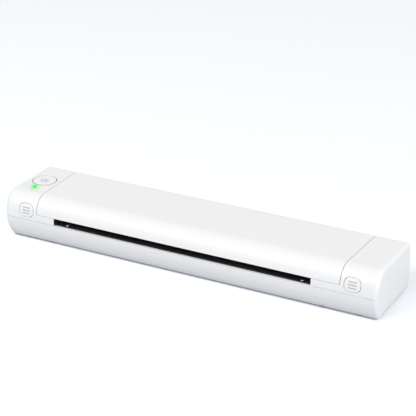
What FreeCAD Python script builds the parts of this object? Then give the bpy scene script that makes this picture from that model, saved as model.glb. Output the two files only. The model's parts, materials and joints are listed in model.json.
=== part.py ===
"""A4 portable thermal printer with a flip-up lid, in millimetres.

+Z is up, X runs along the printer and the front faces -Y.
The origin is the middle of the footprint, on the table.
"""

import FreeCAD
import Part
import math
import os

from FreeCAD import Vector

# Overall case
end_length = 29.3
front_depth = 29.0
rear_depth = 35.0
seam_rise = 17.8
upper_rise = 19.2
foot_lift = 1.0
wall = 2.0
end_wall = 1.2
end_round = 3.0
seam_groove = 0.3
groove_depth = 0.5

# Outline of the case, seen from its end
bottom_inset = 6.8
lean_radius = 36.0
lean_height = 10.0
rear_top_radius = 4.0
rear_bottom_radius = 5.0

# Paper slot and lid
slot_width = 218.6
slot_height = 5.9
slot_offset = -3.0
slot_margin = 18.9
lid_flare = 2.0
lid_gap = 0.45
lid_wall = 2.0
hinge_drop = 4.5
hinge_from_rear = 4.0
hinge_pin_radius = 2.2
hinge_pin_bore = 1.2
hinge_knuckle_length = 5.0
hinge_pin_reach = 3.0
knuckle_wall = 1.2

# Clearances shared by the pieces
running_gap = 0.05
seat_gap = 0.3
slide_gap = 0.35
overrun = 5.0

# End plates
plate_thickness = 1.6
plate_gap = 0.15

# Inner deck under the paper
deck_thickness = 2.0
deck_rib_height = 0.6
deck_rib_width = 1.2
deck_rib_pitch = 18.2
deck_rib_margin = 6.0
deck_end_overlap = 2.4

# Lid liner
liner_thickness = 1.5
liner_lift = 0.4
liner_end_gap = 5.0
liner_edge_gap = 0.4
liner_front_setback = 1.7
rib_end_margin = 3.0
liner_rib_height = 0.5
channel_front_gap = 2.2
channel_rear_gap = 2.2
channel_end_gap = 1.2
cover_boss_radius = 3.0
cover_boss_gap = 0.8
cover_boss_margin = 12.0

# Platen and its train of gears
platen_radius = 5.5
platen_end_gap = 1.3
shaft_radius = 2.5
nip_rise = 2.0
bush_radius = 4.0
bush_flange_radius = 5.0
bush_flange = 0.8
gear_module = 0.5
platen_teeth = 26
small_teeth = 14
big_teeth = 32
pinion_teeth = 12
tooth_relief = 0.05
pressure_angle = 20.0
root_depth_share = 1.25
flank_steps = 4
platen_gear_width = 4.0
big_gear_width = 3.0
gear_side_gap = 0.5
reduction_angle = -12.0
motor_angle = 8.0
gear_stud_radius = 1.2
motor_shaft_radius = 0.75

# Side frames, motor and its bracket
frame_thickness = 1.5
frame_gap = 3.0
frame_foot = 7.0
frame_corner = 3.0
frame_top_gap = 0.8
frame_lead_gap = 2.9
motor_radius = 7.5
motor_length = 19.0
motor_collar_radius = 2.5
motor_collar_height = 1.0
bracket_thickness = 1.2
bracket_margin = 1.4

# Print head
head_end_gap = 0.6
head_depth = 16.0
head_strip_thickness = 1.6
sink_height = 6.0
sink_front_setback = 1.4
fin_height = 2.0
fin_width = 1.2
fin_pitch = 2.8
heater_width = 1.2
heater_height = 0.15
heater_setback = 4.4
head_pin_radius = 1.0
head_pin_length = 3.4
head_spring_radius = 2.2
head_spring_wire = 0.5
head_spring_count = 4
head_spring_margin = 20.0
connector_length = 16.0
connector_height = 2.6

# Push buttons that release the lid
push_from_lid = 9.8
push_above_seam = 7.65
push_width = 12.5
push_height = 10.1
push_corner = 4.2
push_cap_depth = 7.0
push_travel = 1.5
stem_width = 8.0
stem_height = 6.0
stem_setback = 17.0
arm_setback = 8.4
arm_depth = 2.4
arm_height = 3.0
arm_rise = 0.85
arm_reach = 2.6
guide_thickness = 1.5
guide_setback = 14.0
catch_depth = 2.6
catch_height = 2.4
catch_reach = 2.2
push_spring_radius = 2.4
push_spring_wire = 0.5
push_spring_length = 6.0
spring_pip_length = 1.5
spring_pip_gap = 0.5
seat_rib_thickness = 1.6
tactile_bar_count = 3
tactile_bar_length = 6.4
tactile_bar_width = 0.8
tactile_bar_pitch = 2.2
tactile_bar_proud = 0.25

# Power button, light and the board under them
power_y = 3.0
power_side_gap = 5.05
power_thickness = 1.9
power_travel = 0.5
power_flange = 0.9
power_flange_thickness = 1.0
power_stem_radius = 1.8
power_mark_radius = 3.0
power_mark_line = 0.8
power_mark_depth = 0.25
power_mark_gap_angle = 50.0
light_from_power = 14.0
light_radius = 1.1
light_head = 1.0
led_size = 1.8
led_height = 0.9
button_board_side_gap = 5.65
button_board_thickness = 1.0
button_board_margin = 3.0
button_board_drop = 4.4
button_board_rear_margin = 5.0
switch_size = 6.0
switch_height = 1.6
switch_plunger_radius = 1.4
switch_plunger_height = 0.8
board_post_radius = 1.6
board_post_setback = 0.4

# Main board and what stands on it
board_end_gap = 2.8
board_rear_gap = 6.0
board_thickness = 1.6
board_standoff = 3.6
board_side_gap = 0.8
standoff_spread = 7.0
standoff_radius = 2.4
chip_size = 9.0
chip_height = 1.1
small_chip_size = 5.0
capacitor_radius = 2.5
capacitor_height = 6.0
capacitor_pitch = 6.0
capacitor_count = 2
capacitor_from_left = 10.4
capacitor_from_front = 9.0
usb_width = 9.0
usb_height = 3.2
usb_depth = 7.4
usb_wall = 0.3
usb_hole_gap = 0.25
usb_tongue = 0.7
usb_tongue_setback = 1.2
usb_back = 0.6
lead_connector_size = 6.0
lead_connector_height = 4.0

# Battery
battery_length = 100.0
battery_rear_gap = 4.3
battery_height = 10.0
battery_round = 3.0
battery_inset = 14.3
battery_front_gap = 2.2
cradle_height = 5.0
cradle_thickness = 1.5
cradle_gap = 0.3

# Leads
motor_lead_radius = 1.1
battery_lead_radius = 1.2
head_cable_radius = 1.0
motor_lead_bend = 3.5
head_cable_bend = 3.0
lid_cable_bend = 2.4
cable_lane_setback = 6.0
cable_drop = 12.0
plug_lead_rise = 6.0
lead_run_out = 4.0
lead_boss_gap = 2.6

# Feet, screws and bosses
foot_radius = 4.5
foot_thickness = 1.8
foot_from_end = 16.0
foot_from_front = 12.0
foot_from_rear = 7.0
boss_radius = 2.7
boss_split_rise = 11.0
screw_radius = 1.1
screw_head_radius = 2.1
screw_head_height = 1.3
screw_sink = 0.4
screw_hole_gap = 0.2
board_screw_grip = 2.8
frame_screw_grip = 1.4
screw_length = 14.0
short_screw_length = 4.2
driver_slot_depth = 0.7
driver_slot_width = 0.5
outer_boss_setback = 8.4
outer_boss_from_front = 13.5
outer_boss_from_rear = 6.4
inner_boss_setback = 6.6
inner_boss_from_front = 8.6
inner_boss_from_rear = 5.6
deck_support_width = 1.6
deck_support_count = 5
deck_support_margin = 12.0
deck_screw_margin = 9.0
deck_screw_from_front = 4.5
deck_screw_from_rear = 3.0
lead_hole_gap = 0.6

# Paper sensor
sensor_length = 7.0
sensor_depth = 4.2
sensor_height = 3.4
sensor_from_rib = 8.35
sensor_window_spread = 1.75
sensor_y = -17.0
sensor_window_radius = 0.8

# Smallest step that counts as a difference when a face or an edge is picked by its place
pick_step = 1e-6
half_turn = 180.0

# Places worked out from the sizes above
lid_length = slot_width + 2 * slot_margin
case_length = lid_length + 2 * end_length
case_depth = front_depth + rear_depth
case_height = seam_rise + upper_rise
half_length = case_length / 2
front_y = -case_depth / 2
rear_y = case_depth / 2
case_bottom = foot_lift
case_top = foot_lift + case_height
seam_z = case_bottom + seam_rise
floor_z = case_bottom + wall
lid_edge_z = seam_z + slot_height
roof_z = case_top - wall
slot_left = slot_offset - slot_width / 2
slot_right = slot_offset + slot_width / 2
lower_radius = (bottom_inset ** 2 + seam_rise ** 2) / (2 * bottom_inset)
lean_angle = math.asin(lean_height / lean_radius)
lean_rise = seam_rise + lean_height
crown_radius = (case_height - lean_rise) / (1 - math.sin(lean_angle))
crown_y = front_y + lean_radius - (lean_radius - crown_radius) * math.cos(lean_angle)
crown_z = case_top - crown_radius
hinge_y = rear_y - hinge_from_rear
hinge_z = case_top - hinge_drop
lid_front_half = lid_length / 2
lid_rear_half = lid_front_half + lid_flare
platen_y = front_y + front_depth
platen_z = seam_z + nip_rise - platen_radius
platen_length = slot_width - 2 * platen_end_gap
head_length = slot_width - 2 * head_end_gap
nip_z = platen_z + platen_radius
shelf_top = lid_edge_z - seat_gap
shelf_bottom = shelf_top - liner_thickness
liner_z = lid_edge_z + liner_lift
liner_half = lid_front_half - liner_end_gap
frame_right_x = slot_right + frame_gap
frame_left_x = slot_left - frame_gap
head_z = nip_z + seat_gap
head_front_y = platen_y - heater_setback
head_rear_y = head_front_y + head_depth
channel_front_y = head_front_y - channel_front_gap
channel_rear_y = head_rear_y + channel_rear_gap
channel_top_z = case_top - lid_wall - liner_thickness
head_pin_y = head_rear_y - 2 * head_pin_radius
head_pin_z = head_z + head_strip_thickness + sink_height / 2
sink_top_z = head_z + head_strip_thickness + sink_height
outer_boss_front_y = front_y + outer_boss_from_front
outer_boss_rear_y = rear_y - outer_boss_from_rear
inner_boss_front_y = front_y + inner_boss_from_front
inner_boss_rear_y = rear_y - inner_boss_from_rear
platen_shaft_left = frame_left_x - frame_thickness - bush_flange - gear_side_gap
lead_corridor_y = inner_boss_front_y + boss_radius + lead_boss_gap + motor_lead_radius
frame_front_y = lead_corridor_y + motor_lead_radius + frame_lead_gap
board_z = floor_z + board_standoff
board_top = board_z + board_thickness
board_left = -half_length + plate_thickness + end_wall + board_side_gap
board_right = platen_shaft_left - board_end_gap
board_front_y = lead_corridor_y - lead_connector_size / 2
board_rear_y = rear_y - wall - board_rear_gap
usb_y = (board_front_y + board_rear_y) / 2
battery_left = slot_left + battery_inset
battery_depth = rear_y - wall - battery_rear_gap - (platen_y + platen_radius + battery_front_gap)
deck_support_step = (slot_width - 2 * deck_support_margin) / (deck_support_count - 1)
sensor_x = slot_left + deck_support_margin + deck_support_step - sensor_from_rib
push_centre_x = lid_front_half + push_from_lid
push_z = seam_z + push_above_seam
arm_z = push_z + arm_rise
stem_end_y = front_y + stem_setback
arm_front_y = front_y + arm_setback
guide_rear_y = front_y + guide_setback
power_x = -half_length + end_length / 2
power_radius = end_length / 2 - power_side_gap
light_y = power_y - light_from_power
button_board_length = end_length - 2 * button_board_side_gap
lead_z = board_top + lead_connector_height / 2
head_cable_z = liner_z + liner_thickness + head_cable_radius + seat_gap
button_board_top = roof_z - button_board_drop


# Plain solids placed by their corners or axes
def block(x0, x1, y0, y1, z0, z1):
    return Part.makeBox(x1 - x0, y1 - y0, z1 - z0, Vector(x0, y0, z0))


def rod_x(x0, x1, y, z, radius):
    return Part.makeCylinder(radius, x1 - x0, Vector(x0, y, z), Vector(1, 0, 0))


def rod_y(x, y0, y1, z, radius):
    return Part.makeCylinder(radius, y1 - y0, Vector(x, y0, z), Vector(0, 1, 0))


def rod_z(x, y, z0, z1, radius):
    return Part.makeCylinder(radius, z1 - z0, Vector(x, y, z0), Vector(0, 0, 1))


def prism_x(points, x0, x1):
    """A straight bar along X whose section is the closed outline of (y, z) points."""
    corners = [Vector(x0, y, z) for y, z in points]
    return Part.Face(Part.makePolygon(corners + corners[:1])).extrude(Vector(x1 - x0, 0, 0))


def prism_z(points, z0, z1):
    """A straight bar along Z whose plan is the closed outline of (x, y) points."""
    corners = [Vector(x, y, z0) for x, y in points]
    return Part.Face(Part.makePolygon(corners + corners[:1])).extrude(Vector(0, 0, z1 - z0))


def rounded_bar_y(x, z, width, height, corner, y0, y1):
    """A bar along Y with a rectangular section whose four corners are rounded."""
    bar = block(x - width / 2, x + width / 2, y0, y1, z - height / 2, z + height / 2)
    along = [e for e in bar.Edges if abs(abs(e.tangentAt(e.FirstParameter).y) - 1) < pick_step]
    return bar.makeFillet(corner, along)


def joined(first, *others):
    """One solid from pieces that share faces or overlap."""
    return first.fuse(list(others)).removeSplitter()


def group(solids):
    """Like pieces that lie apart and share one node."""
    return Part.makeCompound(list(solids))


def mirrored(shape):
    """The same piece at the printer's other end."""
    return shape.mirror(Vector(0, 0, 0), Vector(1, 0, 0))


# Outline of the case in the plane across the printer
def arc(centre_y, centre_z, radius, start, end, x):
    """A part of a circle; angles in radians from +Y towards +Z."""
    def at(angle):
        return Vector(x, centre_y + radius * math.cos(angle), centre_z + radius * math.sin(angle))
    return Part.Arc(at(start), at((start + end) / 2), at(end)).toShape()


def section(inset, x):
    """The case's outline, moved inwards by inset: flat base, bulging front, flat top and upright rear."""
    bottom = case_bottom + inset
    top = case_top - inset
    low = lower_radius - inset
    lean = lean_radius - inset
    crown = crown_radius - inset
    upper = rear_top_radius - inset
    lower = rear_bottom_radius - inset
    low_y = front_y + lower_radius
    lean_y = front_y + lean_radius
    low_angle = math.asin((seam_z - bottom) / low)
    front_bottom = Vector(x, low_y - low * math.cos(low_angle), bottom)
    rear_bottom = Vector(x, rear_y - rear_bottom_radius, bottom)
    rear_low = Vector(x, rear_y - inset, case_bottom + rear_bottom_radius)
    rear_high = Vector(x, rear_y - inset, case_top - rear_top_radius)
    rear_top = Vector(x, rear_y - rear_top_radius, top)
    crown_top = Vector(x, crown_y, top)
    edges = [
        Part.makeLine(front_bottom, rear_bottom),
        arc(rear_bottom.y, rear_low.z, lower, -math.pi / 2, 0, x),
        Part.makeLine(rear_low, rear_high),
        arc(rear_top.y, rear_high.z, upper, 0, math.pi / 2, x),
        Part.makeLine(rear_top, crown_top),
        arc(crown_y, crown_z, crown, math.pi / 2, math.pi - lean_angle, x),
        arc(lean_y, seam_z, lean, math.pi - lean_angle, math.pi, x),
        arc(low_y, seam_z, low, math.pi, math.pi + low_angle, x),
    ]
    return Part.Wire(Part.__sortEdges__(edges))


def case_bar(inset, x0, x1):
    return Part.Face(section(inset, x0)).extrude(Vector(x1 - x0, 0, 0))


def case_block():
    """The whole outer form, made as two halves, each with its end rounded all the way round."""
    bar = case_bar(0, 0, half_length)
    end = [e for e in bar.Edges if abs(e.CenterOfMass.x - half_length) < pick_step]
    half = bar.makeFillet(end_round, end)
    return joined(half, mirrored(half))


outer_block = case_block()
inner_end = half_length - plate_thickness - end_wall
inner_block = case_bar(wall, -inner_end, inner_end)


def everything_between(z0, z1):
    far = case_length
    return block(-far, far, -far, far, z0, z1)


def lid_plan(grow):
    """The lid seen from above: its two ends flare outwards to the rear; grow moves them out."""
    slope = lid_flare / case_depth
    front_half = lid_front_half + grow - slope * overrun
    rear_half = lid_rear_half + grow + slope * overrun
    front = front_y - overrun
    rear = rear_y + overrun
    return [(-front_half, front), (front_half, front), (rear_half, rear), (-rear_half, rear)]


# Screws
def screw(x, y, z, length):
    """A screw driven upwards, head down at z, with a slot for the driver."""
    head = rod_z(x, y, z, z + screw_head_height, screw_head_radius)
    shank = rod_z(x, y, z, z + length, screw_radius)
    cut = block(
        x - screw_head_radius,
        x + screw_head_radius,
        y - driver_slot_width / 2,
        y + driver_slot_width / 2,
        z,
        z + driver_slot_depth,
    )
    return joined(head, shank).cut(cut)


def screw_hole(x, y, z, length):
    """Room for that screw: a pocket for its head, and a pilot that its thread cuts into."""
    pocket = rod_z(x, y, z - overrun, z + screw_head_height, screw_head_radius + screw_hole_gap)
    shank = rod_z(x, y, z, z + length + screw_hole_gap, screw_radius)
    return pocket.fuse(shank)


def outer_boss_places():
    x = half_length - outer_boss_setback
    return [(x, outer_boss_front_y), (x, outer_boss_rear_y)]


def inner_boss_places():
    x = slot_right + inner_boss_setback
    return [(x, inner_boss_front_y), (x, inner_boss_rear_y)]


def left_inner_boss_places():
    x = slot_left - inner_boss_setback
    return [(x, inner_boss_front_y), (x, inner_boss_rear_y)]


def left_outer_boss_places():
    return [(-x, y) for x, y in outer_boss_places()]


boss_split_z = case_bottom + boss_split_rise
case_screw_z = case_bottom + screw_sink


def case_screw_places():
    left = left_outer_boss_places() + left_inner_boss_places()
    return outer_boss_places() + inner_boss_places() + left


# Bottom case: the lower half of the shell, with bosses, ribs and a battery cradle
def deck_support_places():
    first = slot_left + deck_support_margin
    return [first + deck_support_step * i for i in range(deck_support_count)]


def deck_front_y():
    return front_y + wall + seat_gap


def deck_rear_y():
    return rear_y - wall - seat_gap


def deck_screw_places():
    front = deck_front_y() + deck_screw_from_front
    rear = deck_rear_y() - deck_screw_from_rear
    ends = (slot_left + deck_screw_margin, slot_right - deck_screw_margin)
    return [(x, y) for x in ends for y in (front, rear)]


def battery_front():
    return platen_y + platen_radius + battery_front_gap


def battery_cradle():
    """Upright ribs on the floor that hold the battery on its four sides."""
    left = battery_left - cradle_gap
    right = battery_left + battery_length + cradle_gap
    front = battery_front() - cradle_gap
    rear = battery_front() + battery_depth + cradle_gap
    top = floor_z + cradle_height
    rim = cradle_thickness
    frame = block(left - rim, right + rim, front - rim, rear + rim, floor_z, top)
    first = battery_left + battery_length / 4
    last = battery_left + battery_length * 3 / 4
    room = block(left, right, front, rear, floor_z, top)
    return frame.cut(room).cut(block(first, last, front - overrun, rear + overrun, floor_z, top))


def board_standoff_places():
    inset = standoff_radius + board_side_gap
    ends = (board_left + inset, board_right - inset)
    sides = (usb_y - standoff_spread, usb_y + standoff_spread)
    return [(x, y) for x in ends for y in sides]


def seam_channel():
    """The thin line where the upper and lower mouldings meet."""
    line = everything_between(seam_z - seam_groove / 2, seam_z + seam_groove / 2)
    return line.cut(case_bar(groove_depth, -half_length + groove_depth, half_length - groove_depth))


def plate_room(side):
    """The shallow pocket in each end of the shell that an end plate sits in."""
    outside = half_length + overrun
    pocket = case_bar(end_round - plate_gap, half_length - plate_thickness, outside)
    return pocket if side > 0 else mirrored(pocket)


def usb_room():
    """The hole for the charging socket, through the left end."""
    return block(
        -half_length - overrun,
        -inner_end + overrun,
        usb_y - usb_width / 2 - usb_hole_gap,
        usb_y + usb_width / 2 + usb_hole_gap,
        board_top - usb_hole_gap,
        board_top + usb_height + usb_hole_gap,
    )


def foot_places():
    x = half_length - foot_from_end
    depths = (front_y + foot_from_front, rear_y - foot_from_rear)
    return [(sx * x, y) for sx in (-1, 1) for y in depths]


def bottom_case():
    shell = outer_block.common(everything_between(case_bottom - overrun, seam_z)).cut(inner_block)
    additions = []
    for x, y in case_screw_places():
        additions.append(rod_z(x, y, floor_z, boss_split_z, boss_radius))
    for x, y in board_standoff_places():
        additions.append(rod_z(x, y, floor_z, board_z, standoff_radius))
    deck_bottom = seam_z - deck_thickness
    lead_hole = rod_x(slot_left, slot_right, lead_corridor_y, lead_z, motor_lead_radius + lead_hole_gap)
    for x in deck_support_places():
        half = deck_support_width / 2
        front_rib = block(x - half, x + half, front_y, platen_y - platen_radius - wall, floor_z, deck_bottom)
        additions.append(front_rib.common(case_bar(wall, x - half, x + half)).cut(lead_hole))
    for x, y in deck_screw_places():
        additions.append(rod_z(x, y, floor_z, deck_bottom, boss_radius))
    additions.append(battery_cradle())
    additions = [a.common(inner_block) for a in additions]
    shell = joined(shell, *additions)
    for x, y in case_screw_places():
        shell = shell.cut(screw_hole(x, y, case_screw_z, screw_length))
    for x, y in foot_places():
        shell = shell.cut(rod_z(x, y, case_bottom - overrun, foot_thickness, foot_radius))
    for x, y in deck_screw_places():
        pilot = deck_bottom - short_screw_length
        shell = shell.cut(rod_z(x, y, pilot, deck_bottom, screw_radius))
    for x, y in board_standoff_places():
        shell = shell.cut(rod_z(x, y, board_z - board_screw_grip, board_z, screw_radius))
    for x, y in frame_screw_places():
        shell = shell.cut(rod_z(x, y, floor_z - frame_screw_grip, floor_z, screw_radius))
    for side in (-1, 1):
        shell = shell.cut(plate_room(side))
    return shell.cut(usb_room()).cut(seam_channel())


def rubber_feet():
    return group(
        rod_z(x, y, 0, foot_thickness, foot_radius) for x, y in foot_places()
    )


def case_screws():
    return group(screw(x, y, case_screw_z, screw_length) for x, y in case_screw_places())


# End housings: the upper mouldings at the two ends, beside and below the lid
def hinge_sweep(grow):
    """The room that the lid's lower rear corner turns through."""
    reach = math.hypot(rear_y - hinge_y, hinge_z - lid_edge_z) + grow
    turn = rod_x(-half_length, half_length, hinge_y, hinge_z, reach)
    return turn.common(prism_z(lid_plan(lid_gap), case_bottom, case_top + overrun))


def pin_place_x():
    """Where the lid's end lies at the depth of the hinge."""
    return lid_front_half + lid_flare * (hinge_y - front_y) / case_depth


def latch_window():
    """The slot in the side wall for the push button's arm and its travel."""
    return block(
        lid_front_half - overrun,
        push_centre_x - stem_width / 2,
        arm_front_y - slide_gap,
        arm_front_y + arm_depth + push_travel + slide_gap,
        arm_z - arm_height / 2 - slide_gap,
        arm_z + arm_height / 2 + slide_gap,
    )


def push_guide():
    """The web behind a push button that keeps its stem straight."""
    web = block(
        push_centre_x - push_width / 2,
        push_centre_x + push_width / 2,
        guide_rear_y - guide_thickness,
        guide_rear_y,
        push_z - push_height / 2,
        case_top,
    )
    hole = block(
        push_centre_x - stem_width / 2 - slide_gap,
        push_centre_x + stem_width / 2 + slide_gap,
        guide_rear_y - overrun,
        guide_rear_y + overrun,
        push_z - stem_height / 2 - slide_gap,
        push_z + stem_height / 2 + slide_gap,
    )
    return web.cut(hole)


def spring_seat():
    """The rib on the side wall that a push button's spring stands against."""
    y = stem_end_y + push_spring_length
    rib = block(
        end_at(y) + lid_gap + wall / 2,
        push_centre_x + stem_width / 2,
        y,
        y + seat_rib_thickness,
        push_z - stem_height / 2,
        push_z + stem_height / 2,
    )
    pip_radius = push_spring_radius - push_spring_wire - spring_pip_gap
    pip = rod_y(push_centre_x, y - spring_pip_length, y, push_z, pip_radius)
    return joined(rib, pip)


def end_housing(slot_end):
    """A right-hand housing that begins at the slot's end, still without its screw bosses."""
    upper = outer_block.common(everything_between(seam_z, case_top + overrun))
    outside = half_length + overrun
    region = block(slot_end, outside, front_y - overrun, rear_y + overrun, case_bottom, case_top + overrun)
    body = upper.common(region)
    lid_room = prism_z(lid_plan(lid_gap), lid_edge_z - seat_gap, case_top + overrun)
    shell = body.cut(lid_room)
    under_shelf = block(slot_end + wall, inner_end, front_y, rear_y, case_bottom, shelf_bottom)
    side_wall_plan = lid_plan(lid_gap + wall)
    beside = inner_block.cut(prism_z(side_wall_plan, case_bottom, case_top + overrun))
    hollow = inner_block.common(under_shelf).fuse(beside.common(region))
    shell = shell.cut(hollow)
    additions = [push_guide(), spring_seat()]
    pin_x = pin_place_x() + lid_gap
    knuckle_radius = hinge_pin_radius + knuckle_wall
    additions.append(rod_x(pin_x, pin_x + hinge_pin_reach + wall, hinge_y, hinge_z, knuckle_radius))
    trimmed = [a.common(inner_block) for a in additions]
    shell = joined(shell, *trimmed)
    window = rounded_bar_y(
        push_centre_x,
        push_z,
        push_width + 2 * slide_gap,
        push_height + 2 * slide_gap,
        push_corner + slide_gap,
        front_y - overrun,
        guide_rear_y - guide_thickness,
    )
    shell = shell.cut(window).cut(latch_window())
    pin_end = pin_x + hinge_pin_reach + overrun
    shell = shell.cut(rod_x(pin_x - overrun, pin_end, hinge_y, hinge_z, hinge_pin_radius))
    return shell.cut(hinge_sweep(seat_gap)).cut(plate_room(1)).cut(seam_channel())


def with_bosses(shell, places):
    """Posts that meet the bottom case's bosses, with pilots for the case screws."""
    posts = [rod_z(x, y, boss_split_z, case_top, boss_radius) for x, y in places]
    keep = outer_block.common(everything_between(case_bottom, case_top))
    lid_room = prism_z(lid_plan(lid_gap), shelf_bottom + liner_thickness / 2, case_top + overrun)
    roof_skin = wall / 2
    inside = case_bar(roof_skin, -inner_end - end_wall / 2, inner_end + end_wall / 2)
    posts = [p.common(keep).common(inside).cut(lid_room) for p in posts]
    shell = joined(shell, *posts)
    pilot_top = case_screw_z + screw_length + screw_hole_gap
    for x, y in places:
        shell = shell.cut(rod_z(x, y, case_screw_z, pilot_top, screw_radius))
    return shell


def right_end_housing():
    return with_bosses(end_housing(slot_right), outer_boss_places() + inner_boss_places())


def board_post_places():
    x_in = board_post_radius + board_post_setback
    left = power_x - button_board_length / 2
    front = light_y - button_board_margin
    rear = power_y + power_radius + button_board_rear_margin
    return [
        (left + x_in, rear - x_in),
        (left + button_board_length - x_in, rear - x_in),
        (left + x_in, front + x_in),
    ]


def left_end_housing():
    """The left housing also holds the power button and the light."""
    shell = mirrored(end_housing(-slot_left))
    shell = with_bosses(shell, left_outer_boss_places() + left_inner_boss_places())
    posts = []
    for x, y in board_post_places():
        posts.append(rod_z(x, y, button_board_top, roof_z + wall / 2, board_post_radius))
    shell = joined(shell, *posts)
    above = case_top + overrun
    shell = shell.cut(rod_z(power_x, power_y, roof_z - overrun, above, power_radius + slide_gap))
    return shell.cut(rod_z(power_x, light_y, roof_z - overrun, above, light_radius))


# End plates
def end_plate(side):
    plate = case_bar(end_round, half_length - plate_thickness, half_length)
    ends = [e for e in plate.Edges if abs(e.CenterOfMass.x - half_length) < pick_step]
    plate = plate.makeChamfer(plate_gap, ends)
    return plate if side > 0 else mirrored(plate).cut(usb_room())


# Lid
def cover_boss_places():
    """Screw places along the front and rear flanges of the liner."""
    front = channel_front_y - liner_thickness - cover_boss_radius - cover_boss_gap
    rear = hinge_y - knuckle_reach() - cover_boss_radius - cover_boss_gap
    ends = (slot_left + cover_boss_margin, slot_offset, slot_right - cover_boss_margin)
    return [(x, y) for x in ends for y in (front, rear)]


def knuckle_reach():
    return hinge_pin_radius + knuckle_wall + seat_gap


def cover_boss_foot():
    """The height at which the lid's posts meet the pads on the liner."""
    return liner_z + liner_thickness + screw_head_height


def top_cover():
    lid = outer_block.common(prism_z(lid_plan(0), lid_edge_z, case_top + overrun))
    hollow = case_bar(lid_wall, -half_length, half_length).common(
        prism_z(lid_plan(-lid_wall), case_bottom, case_top + overrun)
    )
    lid = lid.cut(hollow)
    room = case_bar(lid_wall / 2, -half_length, half_length)
    additions = []
    for x, y in cover_boss_places():
        additions.append(rod_z(x, y, cover_boss_foot(), case_top, cover_boss_radius).common(room))
    for side in (-1, 1):
        end = pin_place_x()
        inner = end - hinge_knuckle_length
        knuckle_radius = hinge_pin_radius + running_gap + knuckle_wall
        knuckle = rod_x(inner, end - lid_wall / 2, hinge_y, hinge_z, knuckle_radius)
        catch = block(
            end_at(arm_front_y) - lid_wall - catch_reach,
            end_at(arm_front_y) - lid_wall / 2,
            arm_front_y - seat_gap - catch_depth,
            arm_front_y - seat_gap,
            arm_z - arm_height / 2 - catch_height / 2,
            arm_z + catch_height / 2,
        )
        for piece in (knuckle, catch):
            trimmed = piece.common(room)
            additions.append(trimmed if side > 0 else mirrored(trimmed))
    lid = joined(lid, *additions)
    for x, y in cover_boss_places():
        lid = lid.cut(rod_z(x, y, liner_z, cover_boss_foot() + short_screw_length, screw_radius))
    for side in (-1, 1):
        end = pin_place_x()
        bore = rod_x(end - hinge_knuckle_length - overrun, end + overrun, hinge_y, hinge_z,
                     hinge_pin_radius + running_gap)
        notch = block(
            end_at(arm_front_y) - lid_wall - slide_gap,
            end_at(arm_front_y) + overrun,
            arm_front_y - seat_gap,
            arm_front_y + arm_depth + push_travel + slide_gap,
            lid_edge_z - overrun,
            arm_z + arm_height / 2 + slide_gap,
        )
        for piece in (bore, notch):
            lid = lid.cut(piece if side > 0 else mirrored(piece))
    return lid


def end_at(y):
    """Half the lid's length at a given depth."""
    return lid_front_half + lid_flare * (y - front_y) / case_depth


def hinge_pins():
    """Two hollow steel pins, fixed in the housings and running in the lid."""
    x0 = pin_place_x() - hinge_knuckle_length
    x1 = pin_place_x() + lid_gap + hinge_pin_reach
    pin = rod_x(x0, x1, hinge_y, hinge_z, hinge_pin_radius).cut(
        rod_x(x0 - overrun, x1 + overrun, hinge_y, hinge_z, hinge_pin_bore)
    )
    return group([pin, mirrored(pin)])


def liner_outline():
    """The liner's section: a deep channel for the print head between a front and a rear flange."""
    front = front_y + lid_wall + liner_edge_gap + liner_front_setback
    rear = hinge_y - knuckle_reach()
    low = liner_z
    high = liner_z + liner_thickness
    inner_top = channel_top_z
    outer_top = channel_top_z + liner_thickness
    return [
        (front, low),
        (channel_front_y, low),
        (channel_front_y, inner_top),
        (channel_rear_y, inner_top),
        (channel_rear_y, low),
        (rear, low),
        (rear, high),
        (channel_rear_y + liner_thickness, high),
        (channel_rear_y + liner_thickness, outer_top),
        (channel_front_y - liner_thickness, outer_top),
        (channel_front_y - liner_thickness, high),
        (front, high),
    ]


def liner_rib_places():
    count = int((slot_width - 2 * deck_rib_margin) / deck_rib_pitch)
    span = count * deck_rib_pitch
    return [slot_offset - span / 2 + deck_rib_pitch * i for i in range(count + 1)]


def head_spring_places():
    step = (head_length - 2 * head_spring_margin) / (head_spring_count - 1)
    first = slot_offset - head_length / 2 + head_spring_margin
    return [first + step * i for i in range(head_spring_count)]


def cover_liner():
    shell = prism_x(liner_outline(), -liner_half, liner_half)
    ends = []
    for side in (-1, 1):
        face = slot_offset + side * (head_length / 2 + channel_end_gap)
        x0, x1 = sorted((face, face + side * liner_thickness))
        inside = liner_thickness / 2
        cheek = (x0, x1, channel_front_y - inside, channel_rear_y + inside, liner_z, channel_top_z + inside)
        ends.append(block(*cheek))
    edges = sorted(y for y, z in liner_outline())
    front_stretch = (edges[0] + rib_end_margin, channel_front_y - liner_thickness)
    rear_stretch = (channel_rear_y + liner_thickness, edges[-1] - rib_end_margin)
    half = deck_rib_width / 2
    low = liner_z - liner_rib_height
    high = liner_z + liner_thickness / 2
    ribs = []
    for x in liner_rib_places():
        for y0, y1 in (front_stretch, rear_stretch):
            ribs.append(block(x - half, x + half, y0, y1, low, high))
    pads = [
        rod_z(x, y, liner_z + liner_thickness / 2, cover_boss_foot(), cover_boss_radius)
        for x, y in cover_boss_places()
    ]
    shell = joined(shell, *ends, *ribs, *pads)
    pin_x0 = slot_offset - head_length / 2 - head_pin_length
    pin_x1 = slot_offset + head_length / 2 + head_pin_length
    shell = shell.cut(rod_x(pin_x0, pin_x1, head_pin_y, head_pin_z, head_pin_radius + running_gap))
    sink_radius = screw_head_radius + screw_hole_gap
    for x, y in cover_boss_places():
        shell = shell.cut(rod_z(x, y, liner_z - overrun, liner_z + overrun, screw_radius))
        shell = shell.cut(rod_z(x, y, liner_z - overrun, liner_z + screw_head_height, sink_radius))
    cable_hole = rod_y(head_cable_x(), channel_rear_y - overrun, channel_rear_y + overrun, head_cable_z,
                       head_cable_radius + lead_hole_gap)
    return shell.cut(cable_hole)


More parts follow.
